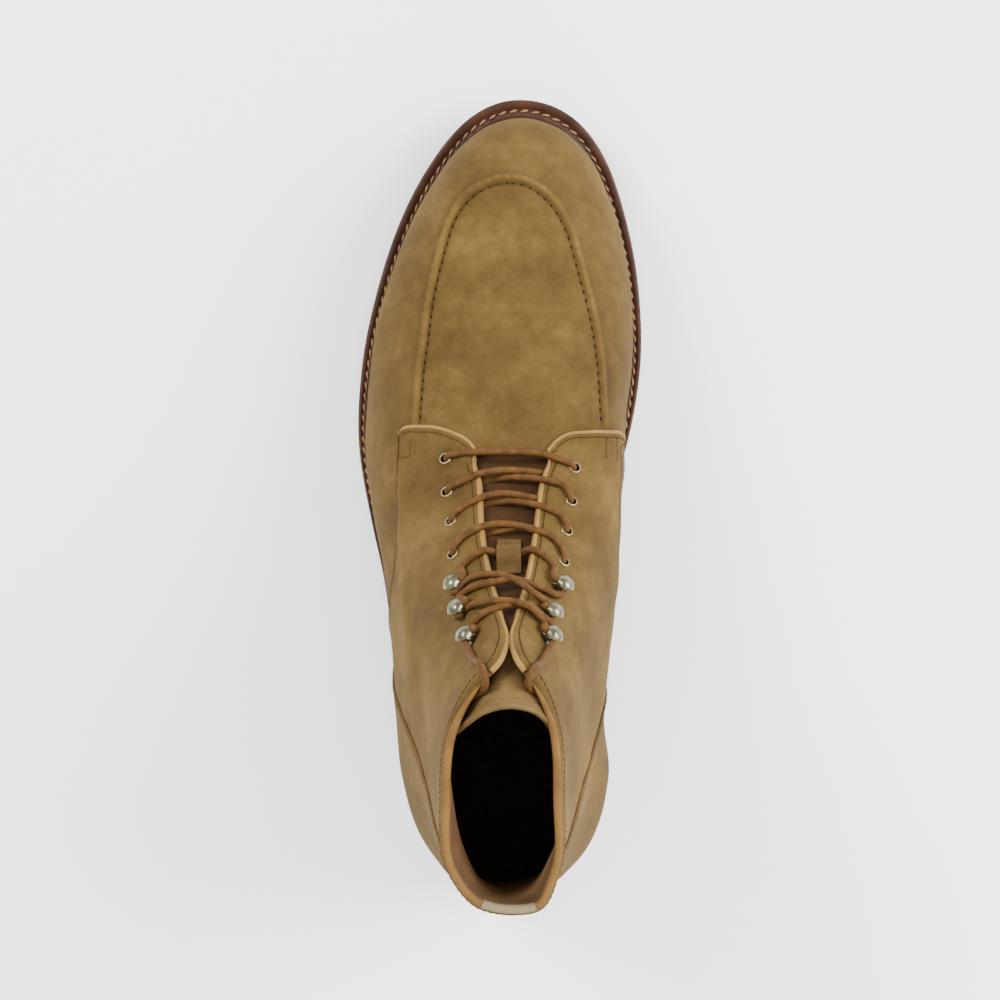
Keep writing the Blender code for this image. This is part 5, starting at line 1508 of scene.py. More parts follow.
def swept_binding(rows, wide, high, square):
    """Rings over the top edge: half width across the leather, half height over it, and how square.

    A narrow binding sits on the lining's side, and leaves the quarter's own rolled edge to be seen."""
    rings = []
    for at, half_wide, half_high in zip(rows, wide, high):
        top, up, outward = top_edge(at)
        inside = (WALL - QUARTER_STEP) / 2 + 1.6 - half_wide
        centre = top - up * (BINDING_HIGH / 2 + 0.1) - outward * inside + outward * fold_at(top)
        ring = []
        for turn in np.linspace(0, 2 * math.pi, BINDING_SIDES + 1):
            c, s = math.cos(turn), math.sin(turn)
            ring.append(centre + outward * half_wide * abs(c) ** square * np.sign(c)
                        + up * half_high * abs(s) ** square * np.sign(s))
        rings.append(ring)
    return np.array(rings)


for side in BOTH_SIDES:
    rows = np.arange(FACING_ROWS[0], FACING_ROWS[1], 0.08)
    wide = np.interp(rows, (12.5, 15.0), (1.6, 1.05))
    start = np.clip(np.arange(len(rows)) / 6, 0.45, 1)
    rings = swept_binding(real_row(side, rows), wide, 0.95 * start, 0.6)
    rolled_piece(f"facing_binding_{side}", rings, FACING_LEATHER)
collar_rows = np.arange(COLLAR_ROW, ROWS_IN_LOOP - COLLAR_ROW + 0.01, 0.08)
from_tip = np.minimum(collar_rows - COLLAR_ROW, ROWS_IN_LOOP - COLLAR_ROW - collar_rows)
pared = 0.16 + 0.84 * np.sin(np.clip(from_tip / COLLAR_TAPER, 0.0, 1) * math.pi / 2)
rings = swept_binding(collar_rows, 1.3 * pared, 1.15 * np.sqrt(pared), 0.85)
collar = rolled_piece("collar_binding", rings, BINDING_LEATHER)
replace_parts(collar, "edge_binding")

# %% [markdown]
# The front edges of the quarters are turned under and edged with the same light leather, a thin round
# strip that follows the drawn line of the panel.

# %% Edge strip of the quarters
def line_on_leather(line, lift):
    """Points, outward directions and running directions along an (at, share) line on the leather."""
    base = look_up(SKIN, line[:, 0], line[:, 1])
    out = directions(line[:, 0], line[:, 1])
    points = base + out * (lift + fold_lift(base))[:, None]
    return points, out, units(np.gradient(points, axis=0))


STRIP_HALF_WIDE, STRIP_HALF_HIGH = 0.68, 0.55
STRIP_LIFT = 0.72           # share of the quarter's step


def edge_strip(side):
    """A flattened cord along a quarter's front edge, thin where it starts."""
    line = resample(drawn_line(QUARTER_FRONT[side]), np.linspace(0, 1, 70))[0]
    points, out, run = line_on_leather(line, QUARTER_STEP * STRIP_LIFT)
    across = np.cross(out, run)
    taper = np.clip(np.arange(len(points)) / 8, 0.3, 1)
    rings = []
    for point, o, a, t in zip(points, out, across, taper):
        wide, high = a * STRIP_HALF_WIDE, o * STRIP_HALF_HIGH
        rings.append([point + (wide * math.cos(turn) + high * math.sin(turn)) * t
                      for turn in np.linspace(0, 2 * math.pi, 13)])
    rolled_piece(f"quarter_edge_{side}", np.array(rings), FACING_LEATHER)


for side in BOTH_SIDES:
    edge_strip(side)


# %% [markdown]
# Below the strip the quarter's edge runs on raw down the side of the foot. Seen from above it is no more
# than a dark line, so a thin cord of the cut suede's colour is laid in the step: partly the raw edge,
# partly painted shade in the step.

# %% Raw lower edge of the quarters
RAW_EDGE_FROM_Y = 97.0      # the counter covers it behind this
RAW_EDGE_ROWS = (7.4, 19.0)
RAW_EDGE_LIFT = 0.72
RAW_EDGE_RADIUS = 0.42
RAW_EDGE_POINTS = 60


def raw_edge_and_shade(side):
    """A thin dark cord in the step below a quarter, the raw edge and painted shade, thinned at both ends.
    """
    line = [drawn_line(QUARTER_FRONT[side])[0]]
    for at in np.arange(*RAW_EDGE_ROWS, 0.2):
        row = real_row(side, at)
        share = panel_share(row)
        y = look_up(SKIN, row, share)[1]
        if RAW_EDGE_FROM_Y < y < QUARTER_FRONT[side][0][1] - 1.5:
            line.append((row, share))
    line = resample(np.array(line), np.linspace(0, 1, RAW_EDGE_POINTS))[0]
    line[1:-1] = (line[:-2] + 2 * line[1:-1] + line[2:]) / 4
    points, _, _ = line_on_leather(line, RAW_EDGE_LIFT)
    from_end = np.minimum(np.arange(RAW_EDGE_POINTS), np.arange(RAW_EDGE_POINTS)[::-1])
    radii = RAW_EDGE_RADIUS * np.clip(from_end / 5 + 0.3, 0, 1)
    tube(f"quarter_raw_edge_and_shade_{side}", points, radii, 8, CUT_EDGE_AND_SHADE)


for side in BOTH_SIDES:
    raw_edge_and_shade(side)


# %% [markdown]
# A plain tape is folded over the collar at the back of the heel, to pull the boot on by.

# %% Heel tape
TAPE_REACH = 0.84
# The tape's bend over the edge, from the inside: outwards and up from the edge's middle.
TAPE_BEND = ((-1.9, -3.4), (-1.95, -2.0), (-1.85, -0.7), (-1.45, 0.15), (-0.85, 0.5), (-0.4, 0.56),
             (0.1, 0.5), (0.5, 0.25), (0.7, -0.2), (0.78, -0.9), (0.75, -1.7))


def heel_tape():
    """The tape as one sheet, bent over the collar's edge and given its thickness."""
    outline = []
    for at in np.linspace(HEEL_AT - TAPE_REACH, HEEL_AT + TAPE_REACH, 36):
        top, up, outward = top_edge(at)
        middle = top - outward * (WALL - QUARTER_STEP) / 2
        outline.append([middle + outward * a + up * b for a, b in TAPE_BEND])
    places = smooth_sheet(np.array(outline), 4)
    shape = laid_grid(places, grid_uvs(places))
    made = sheet_piece("heel_pull_tape", shape, [TAPE], (1.0, 14.0, 130.0))
    leather_wall(made, 0.5, offset=-1.0, inner=0)


heel_tape()

# %% [markdown]
# Hundreds of stitches are one joined mesh: a small ball is stretched along the seam and set down at
# every step of it. Dark dots between the threads are the needle holes: painted shade in each hole.

# %% Stitch rows on the upper
def dots_along(shape, points, out, run, pitch, size, slant=0.0, first=0.5):
    """Sets stretched balls along a line: size is half length, half width and half height."""
    lengths = run_lengths(points)
    steps = np.arange(first * pitch, lengths[-1], pitch)
    for gone in steps:
        point, o, r = (read_along(lengths, table, gone) for table in (points, out, run))
        r = unit(r - o * np.dot(r, o) / np.dot(o, o))
        o = unit(o)
        turned = Matrix((r, np.cross(o, r), o)).transposed().to_4x4() @ Matrix.Rotation(slant, 4, "Z")
        grow = Matrix.Diagonal((size[0] * MM, size[1] * MM, size[2] * MM, 1.0))
        bmesh.ops.create_icosphere(shape, subdivisions=1, radius=1.0,
                                   matrix=Matrix.Translation(place(point)) @ turned @ grow)
    return len(steps)


# %% [markdown]
# The seams follow the panels: each is the edge's own line, moved in by the width a machine's foot leaves.

# %% Seams of the upper
STITCH_PITCH = 2.3
STITCH_SIZE = (0.78, 0.3, 0.24)
NEEDLE_SIZE = (0.34, 0.34, 0.16)
THREAD_LIFT = 0.06
# How far inside each panel's edge its seam runs.
FRONT_SEAM, FACING_SEAM, COLLAR_SEAM, COUNTER_SEAM = 2.0, 3.3, 3.6, 1.9
FACING_SEAM_ROWS = (10.3, 16.5)
COLLAR_SEAM_ROW = 16.7
SEAM_STEP = 0.1


def edge_seam(rows, inset):
    """A seam this far below the top line, as (at, share)."""
    return np.stack([rows, 1 - inset / key_lengths(rows)[:, 2]], axis=1)


def upper_stitch_lines():
    """(at, share) lines of the upper's stitching and the lift of the leather they lie on."""
    lines = []
    for side in BOTH_SIDES:
        front = resample(drawn_line(QUARTER_FRONT[side]), np.linspace(0.03, 0.97, 60))[0]
        points, out, run = line_on_leather(front, 0.0)
        moved = points + np.cross(out, run) * (1 if side == "medial" else -1) * FRONT_SEAM
        lines.append((np.array([locate(*point[:2]) for point in moved]), QUARTER_STEP))
        facing = real_row(side, np.arange(*FACING_SEAM_ROWS, SEAM_STEP))
        lines.append((edge_seam(facing, FACING_SEAM), QUARTER_STEP))
    collar_seam = np.arange(COLLAR_SEAM_ROW, ROWS_IN_LOOP - COLLAR_SEAM_ROW + 0.01, SEAM_STEP)
    lines.append((edge_seam(collar_seam, COLLAR_SEAM), QUARTER_STEP))
    rows = counter_rows(COUNTER_FRONT_Y - 3)
    shares = np.array([panel_share(at) for at in rows]) - COUNTER_SEAM / key_lengths(rows)[:, 2]
    lines.append((np.stack([rows, np.clip(shares, 0.01, 1)], axis=1), QUARTER_STEP + COUNTER_STEP))
    return lines


def upper_stitches():
    """All threads of the upper in one mesh, and the needle holes between them, dark dots of painted shade,
    in another.
    """
    threads, holes = bmesh.new(), bmesh.new()
    count = 0
    for line, lift in upper_stitch_lines():
        points, out, run = line_on_leather(line, lift)
        count += dots_along(threads, points + out * THREAD_LIFT, out, run, STITCH_PITCH, STITCH_SIZE)
        dots_along(holes, points, out, run, STITCH_PITCH, NEEDLE_SIZE, first=1.0)
    finish_piece("upper_stitches", threads, [SEAM_THREAD], merge=0)
    finish_piece("upper_needle_holes", holes, [NEEDLE_HOLE_SHADE], merge=0)
    print("stitches on the upper:", count)


upper_stitches()

# %% [markdown]
# The apron's thread goes down into the trough behind the roll at every pinch, so what shows is a row of
# dark holes, set as dark dots of painted shade.

# %% Needle holes of the apron seam
APRON_END = 7.4             # row from the toe where the apron's stitches go in under the quarters


def apron_holes():
    """The needle holes of the moc seam, dark dots of painted shade in the trough on the inner side of the
    roll.
    """
    rows = column_rows()
    travel = seam_travel(rows)
    shape = bmesh.new()
    for gone in np.arange(0, travel[-1], SEAM_PITCH):
        at = float(np.interp(gone, travel, rows))
        if min(at, ROWS_IN_LOOP - at) > APRON_END:
            continue
        share = float(seam_length(at)) / key_lengths(at)[2]
        base, out = look_up(SKIN, at, share), directions(at, share)
        ahead = unit(look_up(SKIN, at + 0.02, share) - look_up(SKIN, at - 0.02, share))
        point = base + out * (fold_at(base) - (0.75 + 0.4 * toe_share(at)))
        dots_along(shape, np.array([point, point + ahead * 0.8]), np.array([out, out]),
                   np.array([ahead, ahead]), 0.8, (0.62, 0.42, 0.3))
    finish_piece("apron_needle_holes", shape, [NEEDLE_HOLE_SHADE], merge=0)


apron_holes()

# %% [markdown]
# The quarters' front corners are held by short bars of close stitching, which show as dark marks.

# %% Bar tacks
BAR_TACKS = (
    # from x, y to x, y, seen from above
    (-37.8, 174.0, -38.1, 166.2), (-33.6, 172.8, -33.9, 166.2), (-38.0, 165.8, -34.2, 165.8),
    (40.4, 173.4, 39.9, 164.8), (36.6, 173.2, 36.2, 165.0),
)


def bar_tacks():
    """Close stitches along each short bar."""
    shape = bmesh.new()
    for x1, y1, x2, y2 in BAR_TACKS:
        line = np.array([locate(x1 + (x2 - x1) * f, y1 + (y2 - y1) * f) for f in np.linspace(0, 1, 8)])
        points, out, run = line_on_leather(line, QUARTER_STEP)
        dots_along(shape, points + out * THREAD_LIFT, out, run, 1.4, (0.6, 0.34, 0.24))
    finish_piece("bar_tacks", shape, [SEAM_THREAD], merge=0)


bar_tacks()

# %% [markdown]
# An eyelet is a turned ring: half of its outline is drawn, spun right round and merged. The same shape
# is moved to each hole by its spot's matrix.

# %% Eyelets
EYELET_OUTLINE = (
    # radius, lift
    (1.62, -3.2), (1.62, 0.20), (1.68, 0.42), (1.82, 0.56), (2.02, 0.56), (2.18, 0.44),
    (2.28, 0.22), (2.30, 0.00), (2.24, -0.10), (2.05, -0.10), (2.05, -3.2),
)


def spun(outline, steps, closed=False):
    """Points of (radius, rise), joined in turn and spun right round."""
    shape = bmesh.new()
    points = [shape.verts.new((radius * MM, 0, rise * MM)) for radius, rise in outline]
    following = points[1:] + points[:1] if closed else points[1:]
    edges = [shape.edges.new(pair) for pair in zip(points, following)]
    bmesh.ops.spin(shape, geom=points + edges, axis=(0, 0, 1), cent=(0, 0, 0), angle=2 * math.pi,
                   steps=steps, use_merge=True, use_duplicate=False)
    return shape


for side, spots in EYELETS.items():
    for number, spot in enumerate(spots, 1):
        ring = spun(EYELET_OUTLINE, 32)
        bmesh.ops.transform(ring, matrix=spot.matrix(), verts=ring.verts)
        made = finish_piece(f"eyelet_ring_{side}_{number}", ring, [EYELET_METAL], merge=0.005)
        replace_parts(made, f"eyelet_{side}_{number}")


# %% [markdown]
# A speed hook is a bent strip with a round hood. A narrow grid follows the bend and is drawn in to a
# round nose at each end; Solidify gives the metal its thickness and Bevel takes the edge off.

# %% Hooks
HOOK_THICK = 0.7
# The strip's bend seen from the side, and its half width: towards the throat, lift, half width.
HOOK_BEND = (
    (-3.4, 0.55, 0.3), (-3.1, 0.50, 1.5), (-2.4, 0.45, 2.1), (-0.6, 0.45, 2.3), (1.4, 0.50, 2.1),
    (1.9, 1.00, 1.4), (2.2, 2.00, 1.2), (2.2, 3.10, 1.2), (2.0, 4.10, 1.5), (1.6, 4.75, 2.0),
    (0.7, 5.30, 2.6), (-0.6, 5.50, 2.9), (-1.9, 5.35, 2.8), (-2.8, 5.00, 2.3), (-3.4, 4.65, 1.6),
    (-3.75, 4.35, 0.6),
)
HOOD_DISH = 1.1             # the hood's sides are turned down by this much
HOOD_FROM, HOOD_FULL = 3.2, 5.0     # lifts between which the neck becomes the hood
HOOK_ACROSS = 12


def round_edges(made, width):
    """Takes the sharp edge off a wall."""
    rounding = made.modifiers.new("rounding", "BEVEL")
    rounding.width = width * MM
    rounding.segments = 2
    rounding.limit_method = "ANGLE"


def hook_sheet(spot):
    """The hook's bent strip and dished hood as one sheet, at its spot."""
    bend = smooth_path(HOOK_BEND, 0.45)
    rows = []
    for inward, lift, half in bend:
        dish = HOOD_DISH * min(max((lift - HOOD_FROM) / (HOOD_FULL - HOOD_FROM), 0.0), 1.0)
        rows.append([spot.at_offset(inward, half * f, lift - dish * f * f)
                     for f in np.linspace(-1, 1, HOOK_ACROSS + 1)])
    return laid_grid(np.array(rows))


for side, spots in HOOKS.items():
    for number, spot in enumerate(spots, 1):
        strip = hook_sheet(spot)
        made = finish_piece(f"speed_hook_{side}_{number}", strip, [NICKEL], merge=0)
        metal = made.modifiers.new("metal", "SOLIDIFY")
        metal.thickness = HOOK_THICK * MM
        metal.offset = 0.0
        round_edges(made, 0.22)
        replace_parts(made, f"hook_{side}_{number}")


# %% [markdown]
# The tongue is a padded flap. Seven lines run up it, from the outer side to the inner, on the same rows
# as its solid; the grid fills smoothly between them. It leans back out of the facings at the top, where
# its edge is thicker.

# %% Lines of the tongue
TONGUE_THICK = 2.0
TONGUE_FOOT = (1.4, 60.0, 60.0)     # a point inside the boot that the tongue faces away from
TONGUE_CLEAR = (
    # row, clear space to the lining
    (8.0, 2.4), (9.2, 2.4), (10.8, 0.6), (14.6, 0.6), (16.0, 4.4), (17.7, 4.8),
)
TONGUE_DROPS = (15.0, 8.0, 1.5)
TONGUE_ROWS = (8.0, 8.6, 9.2, 10.2, 10.8, 11.5, 12.2, 13.0, 13.8, 14.6)
TONGUE_MIDDLE_X = 1.4
# Where the facings part again the tongue is free of them, and spreads.
TONGUE_HEAD = (
    # y and z of its middle, then half width and fall of the three lines out to its side
    (99.5, 150.0, 1.8, 0.5, 3.6, 3.7, 6.4, 9.8),
    (93.6, 153.0, 2.9, 0.8, 5.4, 4.0, 8.4, 10.0),
    (88.8, 157.0, 4.6, 1.4, 8.0, 6.0, 10.9, 13.0),
    (83.8, 161.6, 6.7, 3.0, 11.6, 9.2, 14.2, 16.5),
)
HEAD_LEAN = 0.1             # the tongue's sides lie this much further back for each millimetre they fall


def tongue_ring(at):
    """Seven points across the tongue, lateral to medial, with their outward directions."""
    depth = WALL + smooth_value(TONGUE_CLEAR, at)
    ring = []
    for row, drops in ((at, TONGUE_DROPS), (ROWS_IN_LOOP - at, TONGUE_DROPS[::-1])):
        for drop in drops:
            here, outward, _, _ = surface_frame(row, drop)
            ring.append((here - outward * depth, outward))
    outward = unit(ring[2][1] + ring[3][1])
    middle = (along(TOP, at, TOP_CORNERS) + along(TOP, ROWS_IN_LOOP - at, TOP_CORNERS)) / 2
    middle = middle - outward * (depth + 0.3)
    ring[2][0][0] = min(ring[2][0][0], TONGUE_MIDDLE_X - 0.6)
    ring[3][0][0] = max(ring[3][0][0], TONGUE_MIDDLE_X + 0.6)
    return [*ring[:3], (middle, outward), *ring[3:]]


def head_ring(y, z, *steps):
    """Seven points across the tongue's free head, from the half widths and falls of one side."""
    side = [(steps[k], steps[k + 1]) for k in range(len(steps) - 2, -1, -2)]
    ring = [(TONGUE_MIDDLE_X - half, y - HEAD_LEAN * fall, z - fall) for half, fall in side]
    ring.append((TONGUE_MIDDLE_X, y, z))
    return ring + [(TONGUE_MIDDLE_X + half, y - HEAD_LEAN * fall, z - fall) for half, fall in side[::-1]]


TONGUE_RINGS = [tongue_ring(at) for at in TONGUE_ROWS]
# The tongue's top edge, from side to side: an arch that leans back over the collar.
TONGUE_TOP = (
    (-17.3, 71.4, 147.6), (-13.2, 74.8, 154.3), (-7.0, 78.9, 161.0), (1.0, 81.6, 165.6),
    (9.6, 79.4, 161.4), (14.4, 75.4, 154.6), (17.3, 71.4, 147.6),
)

# %% [markdown]
# The rings in the throat, those of the free head and the top edge are a net of knots. It is smoothed both
# ways into the tongue's sheet, and the direction square to it is worked out at each of its points.

# %% Sheet of the tongue
def tongue_places():
    """Dense grid of the tongue's outer face, columns up the tongue and rows across it."""
    throat = [[point for point, _ in ring] for ring in TONGUE_RINGS]
    knots = np.array(throat + [head_ring(*row) for row in TONGUE_HEAD] + [TONGUE_TOP])
    return smooth_sheet(knots, 8)


def sheet_normals(places, toward):
    """Directions square to a sheet of places, on the side of the given point."""
    normals = np.cross(np.gradient(places, axis=0), np.gradient(places, axis=1))
    normals /= np.maximum(np.linalg.norm(normals, axis=2), 1e-9)[..., None]
    facing = np.einsum("ijk,ijk->ij", normals, toward - places).mean()
    return normals if facing > 0 else -normals


TONGUE_PLACES = tongue_places()
TONGUE_OUT = sheet_normals(TONGUE_PLACES, np.array([1.4, 200.0, 250.0]))
print("tongue grid", TONGUE_PLACES.shape)

# %% [markdown]
# The top of the tongue is a folded hem: its rim is fuller, and its seam is a shallow line of fine stitches
# that keeps the same distance from the edge.

# %% Tongue
TONGUE_HEM = 5.2            # from the tongue's top edge down to its seam
HEM_FROM, HEM_TO = 0.24, 0.78       # the part of the width where the seam is seen
HEM_STITCH_PITCH = 1.9
HEM_STITCH_SIZE = (0.55, 0.22, 0.14)


def tongue_piece():
    """The tongue's sheet, with a fuller rim and a sewn hem along its top, and the hem's stitches."""
    steps = np.linalg.norm(np.diff(TONGUE_PLACES[::-1], axis=0), axis=2)
    below = np.vstack([np.zeros(steps.shape[1]), np.cumsum(steps, axis=0)])[::-1]   # from the top edge down
    relief = 0.7 * hill(below, 0.9, 1.1) - 0.35 * hill(below, TONGUE_HEM, 0.6)
    soft = np.array([[0.25 * noise.noise(tuple(p / 11)) for p in row] for row in TONGUE_PLACES])
    places = TONGUE_PLACES + TONGUE_OUT * (relief + soft)[..., None]
    shape = laid_grid(places, grid_uvs(places))
    made = sheet_piece("tongue_flap", shape, [TONGUE_SUEDE, LINING], TONGUE_FOOT)
    leather_wall(made, TONGUE_THICK)
    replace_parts(made, "tongue")
    columns = np.arange(int(HEM_FROM * steps.shape[1]), int(HEM_TO * steps.shape[1]))
    rows = np.abs(below - TONGUE_HEM).argmin(axis=0)[columns]
    hem, hem_out = places[rows, columns], TONGUE_OUT[rows, columns]
    line = smooth_path(hem[::6], 0.6)
    out = np.array([hem_out[np.linalg.norm(hem - p, axis=1).argmin()] for p in line])
    stitches = bmesh.new()
    run = np.gradient(line, axis=0)
    dots_along(stitches, line + out * 0.02, out, run, HEM_STITCH_PITCH, HEM_STITCH_SIZE)
    finish_piece("tongue_hem_stitches", stitches, [SEAM_THREAD], merge=0)


tongue_piece()

# %% [markdown]
# The keeper is a short strap sewn on the tongue at both ends, so that the lace runs under it and holds
# the tongue in the middle.

# %% Keeper strap
KEEPER_HALF_WIDE = 4.3
KEEPER_THICK = 1.1
KEEPER = (
    # row, rise over the tongue
    (12.02, 0.25), (12.14, 0.25), (12.22, 1.2), (12.30, 3.1), (12.38, 3.6), (12.50, 3.6),
    (12.57, 3.0), (12.65, 1.0), (12.72, 0.3), (12.84, 0.25),
)


def tongue_middle(at):
    """The tongue's outer face on its middle line, and the way out."""
    k = max(i for i, row in enumerate(TONGUE_ROWS) if row <= at)
    (low, low_out), (high, high_out) = TONGUE_RINGS[k][3], TONGUE_RINGS[k + 1][3]
    share = (at - TONGUE_ROWS[k]) / (TONGUE_ROWS[k + 1] - TONGUE_ROWS[k])
    return low + (high - low) * share, unit(low_out + (high_out - low_out) * share)


def keeper_strap():
    """The strap as one sheet on the tongue's middle line, arched where the lace runs under it."""
    line = []
    for at, rise in KEEPER:
        point, out = tongue_middle(at)
        line.append(point + out * rise)
    places = np.array([[point + np.array([KEEPER_HALF_WIDE * f, 0, -0.12 * f * f])
                        for f in np.linspace(-1, 1, 13)] for point in smooth_path(line, 0.6)])
    shape = laid_grid(places, grid_uvs(places))
    made = sheet_piece("keeper_strap", shape, [KEEPER_SUEDE], TONGUE_FOOT)
    leather_wall(made, KEEPER_THICK, offset=1.0, inner=0)
    round_edges(made, 0.3)
    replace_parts(made, "tongue_keeper")


keeper_strap()

# %% [markdown]
# The lace is one round waxed cord. Each stretch is a tube on a smooth curve through a few points: they
# are named by where they lie seen from above, in the boot's millimetres, and how far they stand off the
# leather or off the throat. One strand passes over its partner in each crossing.

# %% Lace over the eyelets
LACE_RADIUS = 1.27
LACE_SIDES = 14
LACE_STEP = 0.9
ON_LEATHER = 1.2            # lace centre over the quarter


def over_leather(x, y, lift=ON_LEATHER):
    """The point over the quarter that is seen from above at (x, y)."""
    aim = np.array([x, y])
    for _ in range(4):
        at, share = locate(*aim)
        base = look_up(SKIN, at, share)
        point = base + directions(at, share) * (QUARTER_STEP + lift + fold_at(base))
        aim = aim + (np.array([x, y]) - point[:2]) * 0.8
    return point


def throat_level(y):
    """Height of the facings' edges, level with y."""
    row = Spot.row_where(y)
    return (along(TOP, row, TOP_CORNERS)[2] + along(TOP, ROWS_IN_LOOP - row, TOP_CORNERS)[2]) / 2


def over_throat(x, y, lift):
    """A point in the throat, lift over the level of the facings' edges."""
    return np.array([x, y, throat_level(y) + lift])


def out_of_eyelet(spot, towards):
    """The lace's first points: up through the ring and bent over its inner rim, towards a point."""
    lean = towards - spot.point
    lean = unit(lean - spot.normal * np.dot(lean, spot.normal))
    return [spot.point + lean * a + spot.normal * b
            for a, b in ((-0.2, -4.2), (0.05, -1.6), (0.75, 0.35), (2.3, 1.55))]


def lace_stretch(name, route):
    """A length of lace along a route of a few points."""
    return tube(name, smooth_path(route, LACE_STEP), LACE_RADIUS, LACE_SIDES, CORD)


# %% [markdown]
# In each row of lacing the outer side's strand lies on its facing and crosses the throat in a low arch.
# The inner side's strand dives under it in the middle. Only the first row is one straight bar.

# %% Rows of lacing
FIRST_BAR = (
    (-15.5, 167.6, "leather"),
    (-9.4, 167.9, 2.5),
    (2.4, 167.9, 3.2),
    (14.4, 167.1, 2.4),
    (20.2, 165.1, "leather"),
)
ROWS_OVER = {
    2: ((-15.8, 157.0, "leather"), (-9.2, 159.9, 1.7), (-2.0, 161.2, 1.9), (4.0, 161.2, 1.3),
        (11.0, 160.6, -0.2), (16.0, 159.8, -2.6)),
    3: ((-15.8, 147.6, "leather"), (-9.2, 151.0, 1.7), (-2.0, 152.9, 1.9), (4.0, 152.4, 1.3),
        (10.5, 151.2, -0.2), (15.0, 150.2, -2.6)),
    4: ((-16.6, 135.8, "leather"), (-11.4, 139.6, "leather"), (-5.6, 141.6, 1.7), (0.4, 142.0, 1.9),
        (5.0, 141.4, 1.2), (10.0, 140.4, -0.6), (13.0, 139.8, -2.8)),
}
ROWS_UNDER = {
    2: ((22.0, 155.2, "leather"), (16.2, 157.4, "leather"), (10.2, 158.4, 1.6), (4.8, 158.7, 0.0),
        (1.0, 158.6, -1.3), (-3.0, 158.0, -3.2), (-8.0, 157.0, -5.0)),
    3: ((20.8, 144.6, "leather"), (16.0, 147.4, "leather"), (10.2, 149.0, 1.6), (4.8, 149.9, 0.0),
        (1.0, 150.0, -1.3), (-3.0, 149.6, -3.2), (-7.6, 148.6, -5.0)),
    4: ((20.2, 134.0, "leather"), (16.2, 138.0, "leather"), (10.2, 140.0, 1.5), (5.6, 140.9, 0.2),
        (1.4, 140.2, -1.2), (-3.0, 139.2, -3.0), (-6.6, 138.4, -5.0)),
}
ON_LACE = 3.4               # lace centre where it passes over another strand on the leather


def points_of(stations):
    """Points of a route; in place of a lift over the throat, a word says what the lace lies on."""
    lifts = {"leather": ON_LEATHER, "high": ON_LACE}
    return [over_leather(x, y, lifts[lift]) if lift in lifts else over_throat(x, y, lift)
            for x, y, lift in stations]


def eyelet_route(side, number, stations):
    """Out of an eyelet and along a row's points."""
    route = points_of(stations)
    return [*out_of_eyelet(EYELETS[side][number - 1], route[0]), *route]


bar = eyelet_route("lateral", 1, FIRST_BAR)
bar += reversed(out_of_eyelet(EYELETS["medial"][0], bar[-1]))
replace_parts(lace_stretch("lace_first_bar", bar), "lace_bar")
for number in ROWS_OVER:
    over = lace_stretch(f"lace_row_{number}_over", eyelet_route("lateral", number, ROWS_OVER[number]))
    lace_stretch(f"lace_row_{number}_under", eyelet_route("medial", number, ROWS_UNDER[number]))
    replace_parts(over, f"lace_cross_{number}")


# %% [markdown]
# Above the eyelets the two ends come out from under the keeper, turn round the hooks' necks and cross
# between them.

# %% Lace round the hooks
# Round a hook's neck and back: towards the throat, up the facing, lift.
HOOK_TURN = ((1.8, -3.1, 2.3), (0.6, -1.8, 2.4), (0.25, 0.0, 2.4), (0.6, 1.8, 2.4), (1.8, 3.0, 2.3))


def hook_turn(side, number):
    """The lace's points round a hook's neck."""
    return [HOOKS[side][number].at_offset(*point) for point in HOOK_TURN]


# The strands between the hooks, seen from above, with their lift over the facings' edges.
KEEPER_TO_HOOK = {
    "lateral": ((-1.6, 131.4, -1.4), (-4.0, 132.3, 0.3), (-7.1, 132.9, "leather"),
                (-11.0, 130.8, "leather"), (-14.8, 127.3, "leather")),
    "medial": ((4.6, 131.4, -1.4), (6.9, 132.4, 0.3), (9.9, 133.2, "leather"), (13.2, 131.6, "leather"),
               (17.3, 127.8, "leather")),
}
CROSS_FIRST = {
    "lateral": ((-14.7, 121.3, "leather"), (-5.3, 124.8, 2.6), (1.3, 123.9, 3.4), (9.9, 118.7, "high"),
                (15.4, 114.0, "leather")),
    "medial": ((12.1, 120.3, "leather"), (5.1, 122.7, 1.4), (-5.3, 121.7, 1.3), (-11.9, 119.6, "leather"),
               (-15.7, 116.9, "leather")),
}
CROSS_SECOND = {
    "lateral": ((8.8, 113.7, "leather"), (4.0, 114.5, 1.3), (-1.6, 113.9, 1.3), (-7.2, 111.6, "leather"),
                (-11.8, 107.0, "leather")),
    "medial": ((-14.5, 111.7, "leather"), (-5.3, 115.8, 2.6), (1.2, 115.9, 3.5), (9.8, 113.2, "high"),
               (13.8, 107.9, "leather")),
}


def hook_route(first_side):
    """Out of the keeper, round hook 1, across to hook 2, back to hook 3."""
    other = "medial" if first_side == "lateral" else "lateral"
    return [*points_of(KEEPER_TO_HOOK[first_side]), *hook_turn(first_side, 0),
            *points_of(CROSS_FIRST[first_side]), *hook_turn(other, 1),
            *points_of(CROSS_SECOND[first_side]), *hook_turn(first_side, 2)]


for side in FACINGS:
    strand = lace_stretch(f"lace_hooks_{side}", hook_route(side))
    if side == "lateral":
        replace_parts(strand, "lace_hooks")


# %% [markdown]
# The two free ends leave the last hooks, go over the top of the facings and hang down inside the shaft.
# They are cords: each keeps its real length and thickness, and its route is the one its solid follows.

# %% Free ends of the lace
LACE_ENDS = {
    # over the leather, seen from above
    "lateral": ((-10.9, 97.2),),
    "medial": ((12.4, 95.6),),
}
INSIDE_WALL = 3.6           # lace centre inside the leather's outer face
